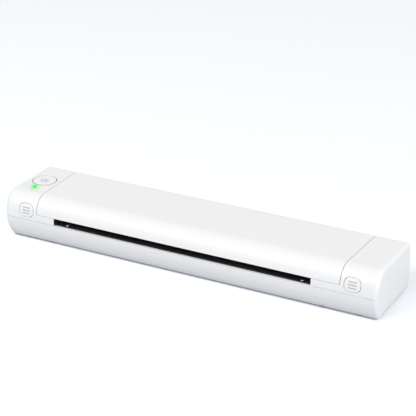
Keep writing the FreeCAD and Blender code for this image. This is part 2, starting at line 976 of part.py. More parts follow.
def cover_screws():
    return group(
        screw(x, y, liner_z, cover_boss_foot() - liner_z + short_screw_length - screw_hole_gap)
        for x, y in cover_boss_places()
    )


# Print head, hung on two pins in the liner's channel
def heat_sink():
    """An aluminium bar with cooling fins along its top, and round seats for the springs."""
    bottom = head_z + head_strip_thickness
    x0 = slot_offset - head_length / 2
    x1 = slot_offset + head_length / 2
    bar = block(x0, x1, head_front_y + sink_front_setback, head_rear_y, bottom, sink_top_z - fin_height)
    count = int((head_depth - sink_front_setback - fin_width) / fin_pitch)
    span = count * fin_pitch + fin_width
    first = (head_front_y + sink_front_setback + head_rear_y - span) / 2
    fins = []
    for i in range(count + 1):
        y = first + fin_pitch * i
        fins.append(block(x0, x1, y, y + fin_width, sink_top_z - fin_height, sink_top_z))
    sink = joined(bar, *fins)
    seat_radius = head_spring_radius + seat_gap
    for x in head_spring_places():
        sink = sink.cut(rod_z(x, spring_y(), sink_top_z - fin_height, sink_top_z + overrun, seat_radius))
    for side in (-1, 1):
        end = slot_offset + side * head_length / 2
        a, b = sorted((end, end - side * head_pin_length))
        sink = sink.cut(rod_x(a, b, head_pin_y, head_pin_z, head_pin_radius))
    return sink


def spring_y():
    return head_front_y + sink_front_setback + (head_depth - sink_front_setback) / 2


def print_head_strip():
    """The ceramic strip that carries the raised line of heating dots over the platen."""
    x0 = slot_offset - head_length / 2
    x1 = slot_offset + head_length / 2
    strip = block(x0, x1, head_front_y, head_rear_y, head_z, head_z + head_strip_thickness)
    half = heater_width / 2
    heater = block(x0, x1, platen_y - half, platen_y + half, head_z - heater_height, head_z)
    return joined(strip, heater)


def head_pivot_pins():
    pins = []
    for side in (-1, 1):
        inner = slot_offset + side * (head_length / 2 - head_pin_length)
        outer = slot_offset + side * (head_length / 2 + channel_end_gap + liner_thickness)
        a, b = sorted((inner, outer))
        pins.append(rod_x(a, b, head_pin_y, head_pin_z, head_pin_radius))
    return group(pins)


def sleeve_z(x, y, z0, z1, radius, wire):
    return rod_z(x, y, z0, z1, radius).cut(rod_z(x, y, z0, z1, radius - wire))


def head_springs():
    low = sink_top_z - fin_height
    return group(
        sleeve_z(x, spring_y(), low, channel_top_z, head_spring_radius, head_spring_wire)
        for x in head_spring_places()
    )


def head_cable_x():
    return slot_left + connector_length / 2 + head_pin_length


def head_connector():
    x = head_cable_x()
    half_x = connector_length / 2
    low = head_cable_z - connector_height / 2
    rear = head_rear_y + channel_rear_gap - seat_gap
    return block(x - half_x, x + half_x, head_rear_y, rear, low, low + connector_height)


# Platen and gears
def involute(radius, angle):
    """A point of the involute of a circle, as distance from the centre and angle turned."""
    return radius / math.cos(angle), math.tan(angle) - angle


def gear_outline(teeth, turn):
    """Points (y, z) of a spur gear about its own centre, with one tooth centred on the angle turn."""
    pitch = gear_module * teeth / 2
    base = pitch * math.cos(math.radians(pressure_angle))
    tip = pitch + gear_module
    root = pitch - root_depth_share * gear_module
    half_tooth = math.pi / (2 * teeth) - tooth_relief / pitch
    at_pitch = math.tan(math.acos(base / pitch)) - math.acos(base / pitch)
    tip_angle = math.acos(base / tip)
    flank = []
    for i in range(flank_steps + 1):
        r, a = involute(base, tip_angle * i / flank_steps)
        if r > root:
            flank.append((r, half_tooth + at_pitch - a))
    flank.insert(0, (root, flank[0][1]))
    points = []
    for k in range(teeth):
        middle = turn + 2 * math.pi * k / teeth
        for r, a in flank:
            points.append((r, middle - a))
        for r, a in reversed(flank):
            points.append((r, middle + a))
    return [(r * math.cos(a), r * math.sin(a)) for r, a in points]


def gear(teeth, turn, y, z, x0, x1):
    return prism_x([(y + py, z + pz) for py, pz in gear_outline(teeth, turn)], x0, x1)


def pitch_radius(teeth):
    return gear_module * teeth / 2


toward_reduction = math.radians(reduction_angle)
toward_motor = math.radians(motor_angle)
reduction_distance = pitch_radius(platen_teeth) + pitch_radius(small_teeth)
motor_distance = pitch_radius(big_teeth) + pitch_radius(pinion_teeth)
reduction_y = platen_y + reduction_distance * math.cos(toward_reduction)
reduction_z = platen_z + reduction_distance * math.sin(toward_reduction)
motor_y = reduction_y + motor_distance * math.cos(toward_motor)
motor_z = reduction_z + motor_distance * math.sin(toward_motor)
gear_x = frame_right_x + frame_thickness + bush_flange + gear_side_gap
big_gear_x = gear_x + platen_gear_width + gear_side_gap
bracket_x = big_gear_x + big_gear_width + gear_side_gap
motor_x = bracket_x + bracket_thickness


def platen_shaft():
    return rod_x(platen_shaft_left, gear_x + platen_gear_width, platen_y, platen_z, shaft_radius)


def platen_rubber():
    x0 = slot_offset - platen_length / 2
    x1 = slot_offset + platen_length / 2
    return rod_x(x0, x1, platen_y, platen_z, platen_radius).cut(
        rod_x(x0, x1, platen_y, platen_z, shaft_radius)
    )


def platen_gear():
    wheel = gear(platen_teeth, toward_reduction, platen_y, platen_z, gear_x, gear_x + platen_gear_width)
    return wheel.cut(rod_x(gear_x, gear_x + platen_gear_width, platen_y, platen_z, shaft_radius))


def reduction_gear():
    """A small and a big wheel moulded in one, running on a fixed stud."""
    gap_turn = toward_reduction + math.pi + math.pi / small_teeth
    small = gear(small_teeth, gap_turn, reduction_y, reduction_z, gear_x, big_gear_x)
    big = gear(big_teeth, toward_motor, reduction_y, reduction_z, big_gear_x, big_gear_x + big_gear_width)
    wheel = small.fuse(big)
    return wheel.cut(rod_x(gear_x, bracket_x, reduction_y, reduction_z, gear_stud_radius + running_gap))


def gear_stud():
    x0 = frame_right_x
    return rod_x(x0, motor_x, reduction_y, reduction_z, gear_stud_radius)


def motor_pinion():
    gap_turn = toward_motor + math.pi + math.pi / pinion_teeth
    wheel = gear(pinion_teeth, gap_turn, motor_y, motor_z, big_gear_x, big_gear_x + big_gear_width)
    return wheel.cut(rod_x(big_gear_x, bracket_x, motor_y, motor_z, motor_shaft_radius))


def motor_shaft():
    return rod_x(big_gear_x, motor_x + motor_length / 2, motor_y, motor_z, motor_shaft_radius)


def motor():
    can = rod_x(motor_x, motor_x + motor_length, motor_y, motor_z, motor_radius)
    collar = rod_x(motor_x - motor_collar_height, motor_x, motor_y, motor_z, motor_collar_radius)
    bore_radius = motor_shaft_radius + running_gap
    bore = rod_x(motor_x - overrun, motor_x + motor_length / 2, motor_y, motor_z, bore_radius)
    return joined(can, collar).cut(bore)


def motor_bracket():
    """A folded steel plate that carries the motor and the far end of the gear stud."""
    reach = gear_stud_radius + bracket_margin
    y0 = reduction_y - reach
    y1 = motor_y + motor_radius
    top = motor_z + motor_radius
    plate = block(bracket_x, motor_x, y0, y1, floor_z, top)
    clear_shaft = rod_x(bracket_x - overrun, motor_x + overrun, motor_y, motor_z, motor_collar_radius)
    clear_stud = rod_x(bracket_x - overrun, motor_x + overrun, reduction_y, reduction_z, gear_stud_radius)
    foot = block(motor_x, motor_x + frame_foot, y0, y0 + frame_foot, floor_z, floor_z + frame_thickness)
    bracket = joined(plate, foot)
    foot_x = motor_x + frame_foot / 2
    bracket = bracket.cut(rod_z(foot_x, y0 + frame_foot / 2, floor_z, floor_z + overrun, screw_radius))
    return bracket.cut(clear_shaft).cut(clear_stud)


def side_frame(x0):
    """An upright steel plate with a hole for the platen's bush and a foot on the floor, towards +X."""
    x1 = x0 + frame_thickness
    front = frame_front_y
    rear = reduction_y + bush_flange_radius
    top = shelf_bottom - frame_top_gap
    outline = [
        (front, floor_z),
        (rear, floor_z),
        (rear, top - frame_corner),
        (rear - frame_corner, top),
        (front + frame_corner, top),
        (front, top - frame_corner),
    ]
    plate = prism_x(outline, x0, x1)
    foot = block(x1, x1 + frame_foot, front, front + frame_foot, floor_z, floor_z + frame_thickness)
    frame = joined(plate, foot)
    hole_x = x1 + frame_foot / 2
    frame = frame.cut(rod_z(hole_x, front + frame_foot / 2, floor_z, floor_z + overrun, screw_radius))
    return frame.cut(rod_x(x0 - overrun, x1 + overrun, platen_y, platen_z, bush_radius))


def right_side_frame():
    frame = side_frame(frame_right_x)
    return frame.cut(rod_x(frame_right_x - overrun, frame_right_x + overrun, reduction_y, reduction_z,
                           gear_stud_radius))


def left_side_frame():
    return side_frame(frame_left_x - frame_thickness)


def platen_bushes():
    bushes = []
    for x0, side in ((frame_right_x, 1), (frame_left_x - frame_thickness, -1)):
        x1 = x0 + frame_thickness
        body = rod_x(x0, x1, platen_y, platen_z, bush_radius)
        flange_x = x1 if side > 0 else x0 - bush_flange
        flange = rod_x(flange_x, flange_x + bush_flange, platen_y, platen_z, bush_flange_radius)
        bore = rod_x(x0 - overrun, x1 + overrun, platen_y, platen_z, shaft_radius + running_gap)
        bushes.append(joined(body, flange).cut(bore))
    return group(bushes)


# Deck under the paper
def paper_deck():
    x0 = slot_left - deck_end_overlap
    x1 = slot_right + deck_end_overlap
    bottom = seam_z - deck_thickness
    plate = block(x0, x1, deck_front_y(), deck_rear_y(), bottom, seam_z)
    room = case_bar(wall + seat_gap, x0, x1)
    plate = plate.common(room)
    window_front = platen_y - platen_radius - seat_gap * 2
    window_rear = platen_y + platen_radius + seat_gap * 2
    half = deck_rib_width / 2
    ribs = []
    front_stretch = (deck_front_y() + deck_rib_margin, window_front - deck_rib_width)
    rear_stretch = (window_rear + deck_rib_width, deck_rear_y() - deck_rib_margin)
    rib_low = bottom + deck_thickness / 2
    for x in liner_rib_places():
        for y0, y1 in (front_stretch, rear_stretch):
            ribs.append(block(x - half, x + half, y0, y1, rib_low, seam_z + deck_rib_height))
    deck = joined(plate, *ribs)
    window_half = platen_length / 2 + seat_gap * 2
    low = bottom - overrun
    high = seam_z + overrun
    left = slot_offset - window_half
    right = slot_offset + window_half
    deck = deck.cut(block(left, right, window_front, window_rear, low, high))
    deck = deck.cut(rod_x(x0 - overrun, x1 + overrun, platen_y, platen_z, shaft_radius + seat_gap))
    for x, y in deck_screw_places():
        deck = deck.cut(rod_z(x, y, low, high, screw_radius))
        deck = deck.cut(rod_z(x, y, seam_z - screw_head_height, high, screw_head_radius + screw_hole_gap))
    half_x = sensor_length / 2 + plate_gap
    half_y = sensor_depth / 2 + plate_gap
    x0 = sensor_x - half_x
    return deck.cut(block(x0, sensor_x + half_x, sensor_y - half_y, sensor_y + half_y, low, high))


def deck_screws():
    return screws_down(deck_screw_places(), seam_z, short_screw_length + deck_thickness - screw_hole_gap)


def paper_sensor():
    """A small optical sensor that looks up at the paper through two windows."""
    top = seam_z
    half_x = sensor_length / 2
    half_y = sensor_depth / 2
    x0 = sensor_x - half_x
    body = block(x0, sensor_x + half_x, sensor_y - half_y, sensor_y + half_y, top - sensor_height, top)
    for x in (sensor_x - sensor_window_spread, sensor_x + sensor_window_spread):
        body = body.cut(rod_z(x, sensor_y, top - sensor_window_radius, top, sensor_window_radius))
    return body


# Battery, boards and what is on them
def battery_pack():
    right = battery_left + battery_length
    rear = battery_front() + battery_depth
    pack = block(battery_left, right, battery_front(), rear, floor_z, floor_z + battery_height)
    along = [e for e in pack.Edges if abs(abs(e.tangentAt(e.FirstParameter).x) - 1) < pick_step]
    return pack.makeFillet(battery_round, along)


def main_board():
    board = block(board_left, board_right, board_front_y, board_rear_y, board_z, board_top)
    for x, y in left_outer_boss_places():
        board = board.cut(rod_z(x, y, board_z, board_top, boss_radius + seat_gap))
    for x, y in board_standoff_places():
        board = board.cut(rod_z(x, y, board_z, board_top, screw_radius))
    return board


def screws_down(places, z, length):
    """Screws driven downwards, with the tops of their heads at z."""
    screws = []
    for x, y in places:
        one = screw(0, 0, 0, length)
        one.rotate(Vector(0, 0, 0), Vector(1, 0, 0), half_turn)
        one.translate(Vector(x, y, z))
        screws.append(one)
    return group(screws)


def board_screws():
    return screws_down(board_standoff_places(), board_top + screw_head_height,
                       screw_head_height + board_thickness + board_screw_grip - screw_hole_gap)


def board_chips():
    """The processor, the motor's driver and a memory chip: corner and side of each."""
    middle = (board_left + board_right) / 2
    small = small_chip_size
    chips = [
        (middle, usb_y, chip_size),
        (middle, usb_y - chip_size - small, small),
        (middle + chip_size - small, usb_y + chip_size + small / 2, small),
    ]
    top = board_top + chip_height
    return group(block(x, x + side, y, y + side, board_top, top) for x, y, side in chips)


def board_capacitors():
    x = board_left + capacitor_from_left
    first = board_front_y + capacitor_from_front
    top = board_top + capacitor_height
    places = [first + i * capacitor_pitch for i in range(capacitor_count)]
    return group(rod_z(x, y, board_top, top, capacitor_radius) for y in places)


def usb_socket():
    """An oval metal shell, open at the left, with a thin tongue inside."""
    x0 = -half_length + plate_gap
    x1 = x0 + usb_depth
    z = board_top + usb_height / 2
    outer = stadium_x(x0, x1, usb_y, z, usb_width, usb_height)
    inner_width = usb_width - 2 * usb_wall
    inner_height = usb_height - 2 * usb_wall
    inner = stadium_x(x0 - overrun, x1 - usb_back, usb_y, z, inner_width, inner_height)
    half = usb_width / 2 - usb_height / 2
    tip = x0 + usb_tongue_setback
    tongue = block(tip, x1 - usb_wall, usb_y - half, usb_y + half, z - usb_tongue / 2, z + usb_tongue / 2)
    return joined(outer.cut(inner), tongue)


def stadium_x(x0, x1, y, z, width, height):
    """A bar along X with an oval section."""
    radius = height / 2
    half = width / 2 - radius
    middle = block(x0, x1, y - half, y + half, z - radius, z + radius)
    return joined(middle, rod_x(x0, x1, y - half, z, radius), rod_x(x0, x1, y + half, z, radius))


def connector_on_board(x, y):
    """A lead's plug in its socket, standing on the board about a middle point."""
    half = lead_connector_size / 2
    return block(x - half, x + half, y - half, y + half, board_top, board_top + lead_connector_height)


def board_connectors():
    edge_x = board_right - lead_connector_size / 2
    places = [(edge_x, lead_corridor_y), (edge_x, battery_lead_y()), (head_cable_drop_x(), head_plug_y())]
    return group(connector_on_board(x, y) for x, y in places)


def head_plug_y():
    return board_rear_y - lead_connector_size


def head_cable_drop_x():
    return -(pin_place_x() + lid_gap + hinge_pin_reach + wall) - head_cable_bend


def battery_lead_y():
    return battery_front() + battery_depth / 2


def button_board():
    left = power_x - button_board_length / 2
    front = light_y - button_board_margin
    rear = power_y + power_radius + button_board_rear_margin
    bottom = button_board_top - button_board_thickness
    board = block(left, left + button_board_length, front, rear, bottom, button_board_top)
    for x, y in left_outer_boss_places():
        board = board.cut(rod_z(x, y, bottom, button_board_top, boss_radius + seat_gap))
    return board


def power_switch():
    """The small tactile switch under the power button."""
    half = switch_size / 2
    body = block(power_x - half, power_x + half, power_y - half, power_y + half, button_board_top,
                 button_board_top + switch_height)
    top = button_board_top + switch_height
    return joined(body, rod_z(power_x, power_y, top, top + switch_plunger_height, switch_plunger_radius))


def status_led():
    half = led_size / 2
    return block(power_x - half, power_x + half, light_y - half, light_y + half, button_board_top,
                 button_board_top + led_height)


def light_pipe():
    low = button_board_top + led_height + seat_gap
    stem = rod_z(power_x, light_y, low, case_top, light_radius)
    collar = rod_z(power_x, light_y, roof_z - light_head, roof_z, light_radius + light_head)
    return joined(stem, collar)


# Buttons
def push_button():
    """The right push button: a cap that follows the case's front, a stem, and the arm that holds the lid."""
    cap_rear = front_y + push_cap_depth
    far = front_y - overrun
    bar = rounded_bar_y(push_centre_x, push_z, push_width, push_height, push_corner, far, cap_rear)
    cap = bar.common(outer_block)
    half_x = stem_width / 2
    half_z = stem_height / 2
    x0 = push_centre_x - half_x
    stem = block(x0, push_centre_x + half_x, cap_rear - wall, stem_end_y, push_z - half_z, push_z + half_z)
    nose = end_at(arm_front_y) - lid_wall - arm_reach
    arm_rear = arm_front_y + arm_depth
    half_arm = arm_height / 2
    arm = block(nose, push_centre_x, arm_front_y, arm_rear, arm_z - half_arm, arm_z + half_arm)
    bars = []
    half = tactile_bar_length / 2
    thick = tactile_bar_width / 2
    proud = case_bar(-tactile_bar_proud, push_centre_x - half, push_centre_x + half)
    for i in range(tactile_bar_count):
        z = push_z + (i - (tactile_bar_count - 1) / 2) * tactile_bar_pitch
        x0 = push_centre_x - half
        x1 = push_centre_x + half
        bars.append(block(x0, x1, front_y - overrun, cap_rear - wall, z - thick, z + thick).common(proud))
    return joined(cap, stem, arm, *bars)


def push_spring():
    y0 = stem_end_y
    y1 = stem_end_y + push_spring_length
    return rod_y(push_centre_x, y0, y1, push_z, push_spring_radius).cut(
        rod_y(push_centre_x, y0, y1, push_z, push_spring_radius - push_spring_wire)
    )


def power_button():
    """A round cap, flush with the top, with a flange that keeps it in and a stem over the switch."""
    bottom = case_top - power_thickness
    cap = rod_z(power_x, power_y, bottom - power_flange_thickness, case_top, power_radius)
    flange_top = roof_z - plate_gap
    flange_radius = power_radius + power_flange
    flange = rod_z(power_x, power_y, flange_top - power_flange_thickness, flange_top, flange_radius)
    stem_low = button_board_top + switch_height + switch_plunger_height + plate_gap + power_travel
    stem = rod_z(power_x, power_y, stem_low, case_top - power_thickness / 2, power_stem_radius)
    button = joined(cap, flange, stem)
    low = case_top - power_mark_depth
    high = case_top + overrun
    disc = rod_z(power_x, power_y, low, high, power_mark_radius)
    ring = disc.cut(rod_z(power_x, power_y, low, high, power_mark_radius - power_mark_line))
    half = power_mark_radius * math.tan(math.radians(power_mark_gap_angle / 2))
    gap = block(power_x - half, power_x + half, power_y, power_y + overrun, low, high)
    half_line = power_mark_line / 2
    bar = block(power_x - half_line, power_x + half_line, power_y, power_y + power_mark_radius, low, high)
    return button.cut(ring.cut(gap)).cut(bar)


# Leads: straight runs joined by round bends
def lead(points, radius, bend):
    """A round lead along the points, each corner turned with an arc of the given radius."""
    edges = []
    start = points[0]
    for i in range(1, len(points) - 1):
        corner = points[i]
        back = (points[i - 1] - corner).normalize()
        ahead = (points[i + 1] - corner).normalize()
        turn = math.pi - back.getAngle(ahead)
        trim = bend * math.tan(turn / 2)
        first = corner + back * trim
        last = corner + ahead * trim
        inward = (back + ahead).normalize()
        middle = corner + inward * (bend / math.cos(turn / 2) - bend)
        edges.append(Part.makeLine(start, first))
        edges.append(Part.Arc(first, middle, last).toShape())
        start = last
    edges.append(Part.makeLine(start, points[-1]))
    path = Part.Wire(edges)
    direction = points[1] - points[0]
    ring = Part.Wire([Part.makeCircle(radius, points[0], direction)])
    return path.makePipeShell([ring], True, True)


def motor_lead():
    out = motor_x + motor_length
    turn_x = out + lead_run_out
    return lead(
        [
            Vector(out, motor_y, motor_z),
            Vector(turn_x, motor_y, motor_z),
            Vector(turn_x, lead_corridor_y, lead_z),
            Vector(board_right, lead_corridor_y, lead_z),
        ],
        motor_lead_radius,
        motor_lead_bend,
    )


def battery_lead():
    return rod_x(board_right, battery_left, battery_lead_y(), lead_z, battery_lead_radius)


def head_cable_in_lid():
    """From behind the print head's connector, over the rear flange, to the middle of the hinge."""
    x = head_cable_x()
    lane_y = channel_rear_y + liner_thickness + head_cable_radius + seat_gap
    knuckle = -(pin_place_x() - hinge_knuckle_length)
    lane_x = knuckle + cable_lane_setback
    return lead(
        [
            Vector(x, channel_rear_y, head_cable_z),
            Vector(x, lane_y, head_cable_z),
            Vector(lane_x, lane_y, head_cable_z),
            Vector(lane_x, hinge_y, hinge_z),
            Vector(knuckle, hinge_y, hinge_z),
        ],
        head_cable_radius,
        lid_cable_bend,
    )


def head_cable_in_base():
    """From the middle of the hinge pin, down behind the power button, to the main board."""
    x0 = -(pin_place_x() - hinge_knuckle_length)
    x1 = head_cable_drop_x()
    plug_y = head_plug_y()
    plug_z = board_top + lead_connector_height
    return lead(
        [
            Vector(x0, hinge_y, hinge_z),
            Vector(x1, hinge_y, hinge_z),
            Vector(x1, hinge_y, plug_z + cable_drop),
            Vector(x1, plug_y, plug_z + plug_lead_rise),
            Vector(x1, plug_y, plug_z),
        ],
        head_cable_radius,
        head_cable_bend,
    )


def frame_screw_places():
    """The middles of the feet of the two side frames and of the motor's bracket."""
    frame_y = frame_front_y + frame_foot / 2
    left = frame_left_x + frame_foot / 2
    right = frame_right_x + frame_thickness + frame_foot / 2
    bracket_y = reduction_y - gear_stud_radius - bracket_margin + frame_foot / 2
    return [(left, frame_y), (right, frame_y), (motor_x + frame_foot / 2, bracket_y)]


def frame_screws():
    top = floor_z + frame_thickness + screw_head_height
    return screws_down(frame_screw_places(), top, top - floor_z + frame_screw_grip - screw_hole_gap / 2)


parts = {
    "bottom_case": bottom_case,
    "left_end_housing": left_end_housing,
    "right_end_housing": right_end_housing,
    "left_end_plate": lambda: end_plate(-1),
    "right_end_plate": lambda: end_plate(1),
    "rubber_feet": rubber_feet,
    "case_screws": case_screws,
    "top_cover": top_cover,
    "cover_liner": cover_liner,
    "cover_screws": cover_screws,
    "hinge_pins": hinge_pins,
    "heat_sink": heat_sink,
    "print_head_strip": print_head_strip,
    "head_pivot_pins": head_pivot_pins,
    "head_springs": head_springs,
    "head_connector": head_connector,
    "head_cable_in_lid": head_cable_in_lid,
    "head_cable_in_base": head_cable_in_base,
    "platen_shaft": platen_shaft,
    "platen_rubber": platen_rubber,
    "platen_gear": platen_gear,
    "platen_bushes": platen_bushes,
    "reduction_gear": reduction_gear,
    "gear_stud": gear_stud,
    "motor": motor,
    "motor_shaft": motor_shaft,
    "motor_pinion": motor_pinion,
    "motor_bracket": motor_bracket,
    "left_side_frame": left_side_frame,
    "right_side_frame": right_side_frame,
    "paper_deck": paper_deck,
    "deck_screws": deck_screws,
    "board_screws": board_screws,
    "frame_screws": frame_screws,
    "paper_sensor": paper_sensor,
    "battery_pack": battery_pack,
    "battery_lead": battery_lead,
    "motor_lead": motor_lead,
    "main_board": main_board,
    "board_chips": board_chips,
    "board_capacitors": board_capacitors,
    "board_connectors": board_connectors,
    "usb_socket": usb_socket,
    "button_board": button_board,
    "power_switch": power_switch,
    "status_led": status_led,
    "light_pipe": light_pipe,
    "power_button": power_button,
    "right_push_button": push_button,
    "left_push_button": lambda: mirrored(push_button()),
    "right_push_spring": push_spring,
    "left_push_spring": lambda: mirrored(push_spring()),
}

os.makedirs("parts", exist_ok=True)
for name, make in parts.items():
    shape = make()
    shape.exportStep(f"parts/{name}.step")
    box = shape.BoundBox
    print(
        f"{name}: {len(shape.Solids)} solids, valid {shape.isValid()}, volume {shape.Volume:.1f},"
        f" x {box.XMin:.2f} {box.XMax:.2f} y {box.YMin:.2f} {box.YMax:.2f} z {box.ZMin:.2f} {box.ZMax:.2f}"
    )
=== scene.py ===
import json
import math
import random

import bmesh
import bpy
from mathutils import Matrix, Vector
from mathutils.bvhtree import BVHTree
from mathutils.interpolate import poly_3d_calc

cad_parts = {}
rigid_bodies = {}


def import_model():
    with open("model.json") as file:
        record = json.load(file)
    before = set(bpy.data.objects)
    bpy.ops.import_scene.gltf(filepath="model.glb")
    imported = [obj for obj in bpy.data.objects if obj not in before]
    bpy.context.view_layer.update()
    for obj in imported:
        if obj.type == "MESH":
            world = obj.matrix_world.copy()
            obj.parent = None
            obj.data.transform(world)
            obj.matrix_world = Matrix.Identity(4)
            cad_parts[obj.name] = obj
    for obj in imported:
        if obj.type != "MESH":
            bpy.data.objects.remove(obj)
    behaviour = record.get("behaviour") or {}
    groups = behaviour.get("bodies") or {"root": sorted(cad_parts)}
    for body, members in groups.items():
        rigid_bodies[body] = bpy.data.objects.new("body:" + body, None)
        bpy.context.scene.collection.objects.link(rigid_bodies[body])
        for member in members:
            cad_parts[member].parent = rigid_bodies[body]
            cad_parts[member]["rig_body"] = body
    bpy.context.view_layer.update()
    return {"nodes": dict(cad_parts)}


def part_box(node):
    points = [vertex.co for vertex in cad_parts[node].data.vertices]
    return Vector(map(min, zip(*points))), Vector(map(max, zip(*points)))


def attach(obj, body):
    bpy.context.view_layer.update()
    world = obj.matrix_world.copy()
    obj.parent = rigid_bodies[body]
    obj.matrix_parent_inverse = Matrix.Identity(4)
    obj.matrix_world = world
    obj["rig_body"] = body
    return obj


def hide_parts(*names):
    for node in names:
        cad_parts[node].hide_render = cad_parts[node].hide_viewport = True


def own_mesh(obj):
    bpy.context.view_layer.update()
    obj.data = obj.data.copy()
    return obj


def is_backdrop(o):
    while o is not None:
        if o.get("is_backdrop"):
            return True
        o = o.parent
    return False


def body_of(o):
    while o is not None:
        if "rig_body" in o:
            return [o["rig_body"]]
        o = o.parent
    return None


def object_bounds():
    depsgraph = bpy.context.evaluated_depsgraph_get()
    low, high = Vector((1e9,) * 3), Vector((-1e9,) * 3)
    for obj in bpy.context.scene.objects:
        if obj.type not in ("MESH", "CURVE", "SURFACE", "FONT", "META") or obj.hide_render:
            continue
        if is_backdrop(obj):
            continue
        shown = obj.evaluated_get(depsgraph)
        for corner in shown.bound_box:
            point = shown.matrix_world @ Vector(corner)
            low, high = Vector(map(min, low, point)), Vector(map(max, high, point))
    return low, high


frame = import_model()
mm = 0.001


# Lower shell
# The lower half of the case, injection moulded in glossy white plastic.
# All inner pieces stand on its floor, and the two end housings are screwed to it from below.
class Amount:
    """A number, colour or shape that a tree of nodes works out; sums on it add nodes."""

    def __init__(self, works, socket):
        self.works = works
        self.socket = socket

    def __add__(self, other):
        return self.works.maths("ADD", self, other)

    def __radd__(self, other):
        return self.works.maths("ADD", other, self)

    def __sub__(self, other):
        return self.works.maths("SUBTRACT", self, other)

    def __rsub__(self, other):
        return self.works.maths("SUBTRACT", other, self)

    def __mul__(self, other):
        return self.works.maths("MULTIPLY", self, other)

    def __rmul__(self, other):
        return self.works.maths("MULTIPLY", other, self)

    def __truediv__(self, other):
        return self.works.maths("DIVIDE", self, other)

    def __pow__(self, other):
        return self.works.maths("POWER", self, other)


class Works:
    """A tree of nodes, for a finish or for a shape that repeats."""

    def node(self, kind, settings, inputs, output=0):
        """One node, its settings set first; a list of inputs goes to one socket in turn."""
        made = self.tree.nodes.new(kind)
        for name, value in settings.items():
            setattr(made, name, value)
        for name, value in inputs.items():
            for one in value if isinstance(value, list) else [value]:
                if isinstance(one, Amount):
                    self.tree.links.new(one.socket, made.inputs[name])
                else:
                    made.inputs[name].default_value = one
        return Amount(self, made.outputs[output])

    def maths(self, operation, first, second):
        return self.node("ShaderNodeMath", {"operation": operation}, {0: first, 1: second})


class Finish(Works):
    """The surface of a material: fixed values sit on the shader itself, and what varies is fed to it."""

    def __init__(self, name, fixed):
        self.material = bpy.data.materials.new(name)
        self.material.use_nodes = True
        self.tree = self.material.node_tree
        self.skin = self.tree.nodes["Principled BSDF"]
        for socket, value in fixed.items():
            self.skin.inputs[socket].default_value = value
        self.place = self.node("ShaderNodeTexCoord", {}, {}, "Object")

    def along(self, axis):
        """The place along X, Y or Z in metres."""
        return self.node("ShaderNodeSeparateXYZ", {}, {"Vector": self.place}, axis)

    def from_line(self, axis_a, a, axis_b, b):
        """The distance from a straight line that crosses two axes at a and b."""
        da = self.along(axis_a) - a
        db = self.along(axis_b) - b
        return (da * da + db * db) ** 0.5

    def patches(self, size, detail=3.0, stretch=(1.0, 1.0, 1.0)):
        """Soft patches from 0 to 1, about size metres across and drawn out by stretch."""
        scale = tuple(1.0 / (size * s) for s in stretch)
        placed = self.node("ShaderNodeMapping", {}, {"Vector": self.place, "Scale": scale})
        return self.node("ShaderNodeTexNoise", {}, {"Vector": placed, "Scale": 1.0, "Detail": detail})

    def blend(self, share, low, high):
        """A colour between two, by share."""
        return self.node("ShaderNodeMix", {"data_type": "RGBA"}, {"Factor": share, 6: low, 7: high}, 2)

    def step(self, value, start, end):
        """0 at start and 1 at end, with a smooth way between."""
        edges = {"Value": value, "From Min": start, "From Max": end}
        return self.node("ShaderNodeMapRange", {"interpolation_type": "SMOOTHSTEP"}, edges)

    def give(self, socket, value):
        self.tree.links.new(value.socket, self.skin.inputs[socket])

    def raise_by(self, height, depth):
        """Raises the surface by depth metres where height is 1."""
        bump = self.node("ShaderNodeBump", {}, {"Height": height, "Distance": depth, "Strength": 1.0})
        self.give("Normal", bump)


def surface(name, dark, light, patch, rough, grain, depth, fixed=None, stretch=(1.0, 1.0, 1.0)):
    """A finish whose colour and gloss drift over broad patches, with a fine grain raised on it."""
    finish = Finish(name, fixed or {})
    broad = finish.patches(patch, 3.0, stretch)
    fine = finish.patches(grain, 2.0, stretch)
    finish.colour = finish.blend(broad, (*dark, 1.0), (*light, 1.0))
    finish.fine = fine
    finish.give("Base Color", finish.colour)
    glossiest, dullest = rough
    finish.give("Roughness", glossiest + (dullest - glossiest) * broad + 0.04 * fine)
    finish.raise_by(fine, depth)
    return finish


weld_reach = 0.002 * mm
flat_angle = math.radians(0.3)
edge_angle = math.radians(34.0)
near_reach = 0.03 * mm
same_way = 0.9


def merged(node):
    """A CAD piece's loose faces joined to one closed shape."""
    shape = bmesh.new()
    shape.from_mesh(frame["nodes"][node].data)
    bmesh.ops.remove_doubles(shape, verts=shape.verts, dist=weld_reach)
    return shape


def put(piece, body="base"):
    """Joins a finished detail to its body."""
    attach(piece, body)
    return piece


def put_for(piece, node):
    """Joins a finished piece to its body, in place of the CAD node that it stands for."""
    put(piece, body_of(frame["nodes"][node])[0])
    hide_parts(node)
    return piece


def made(name, mesh, *finishes):
    """A mesh in its finishes, as an object of the scene."""
    piece = bpy.data.objects.new(name, mesh)
    bpy.context.scene.collection.objects.link(piece)
    for finish in finishes:
        mesh.materials.append(finish.material)
    return piece


def settled(piece):
    """Turns what a piece's modifiers make into its plain mesh."""
    seen = piece.evaluated_get(bpy.context.evaluated_depsgraph_get())
    mesh = bpy.data.meshes.new_from_object(seen)
    piece.modifiers.clear()
    piece.data = mesh
    return piece


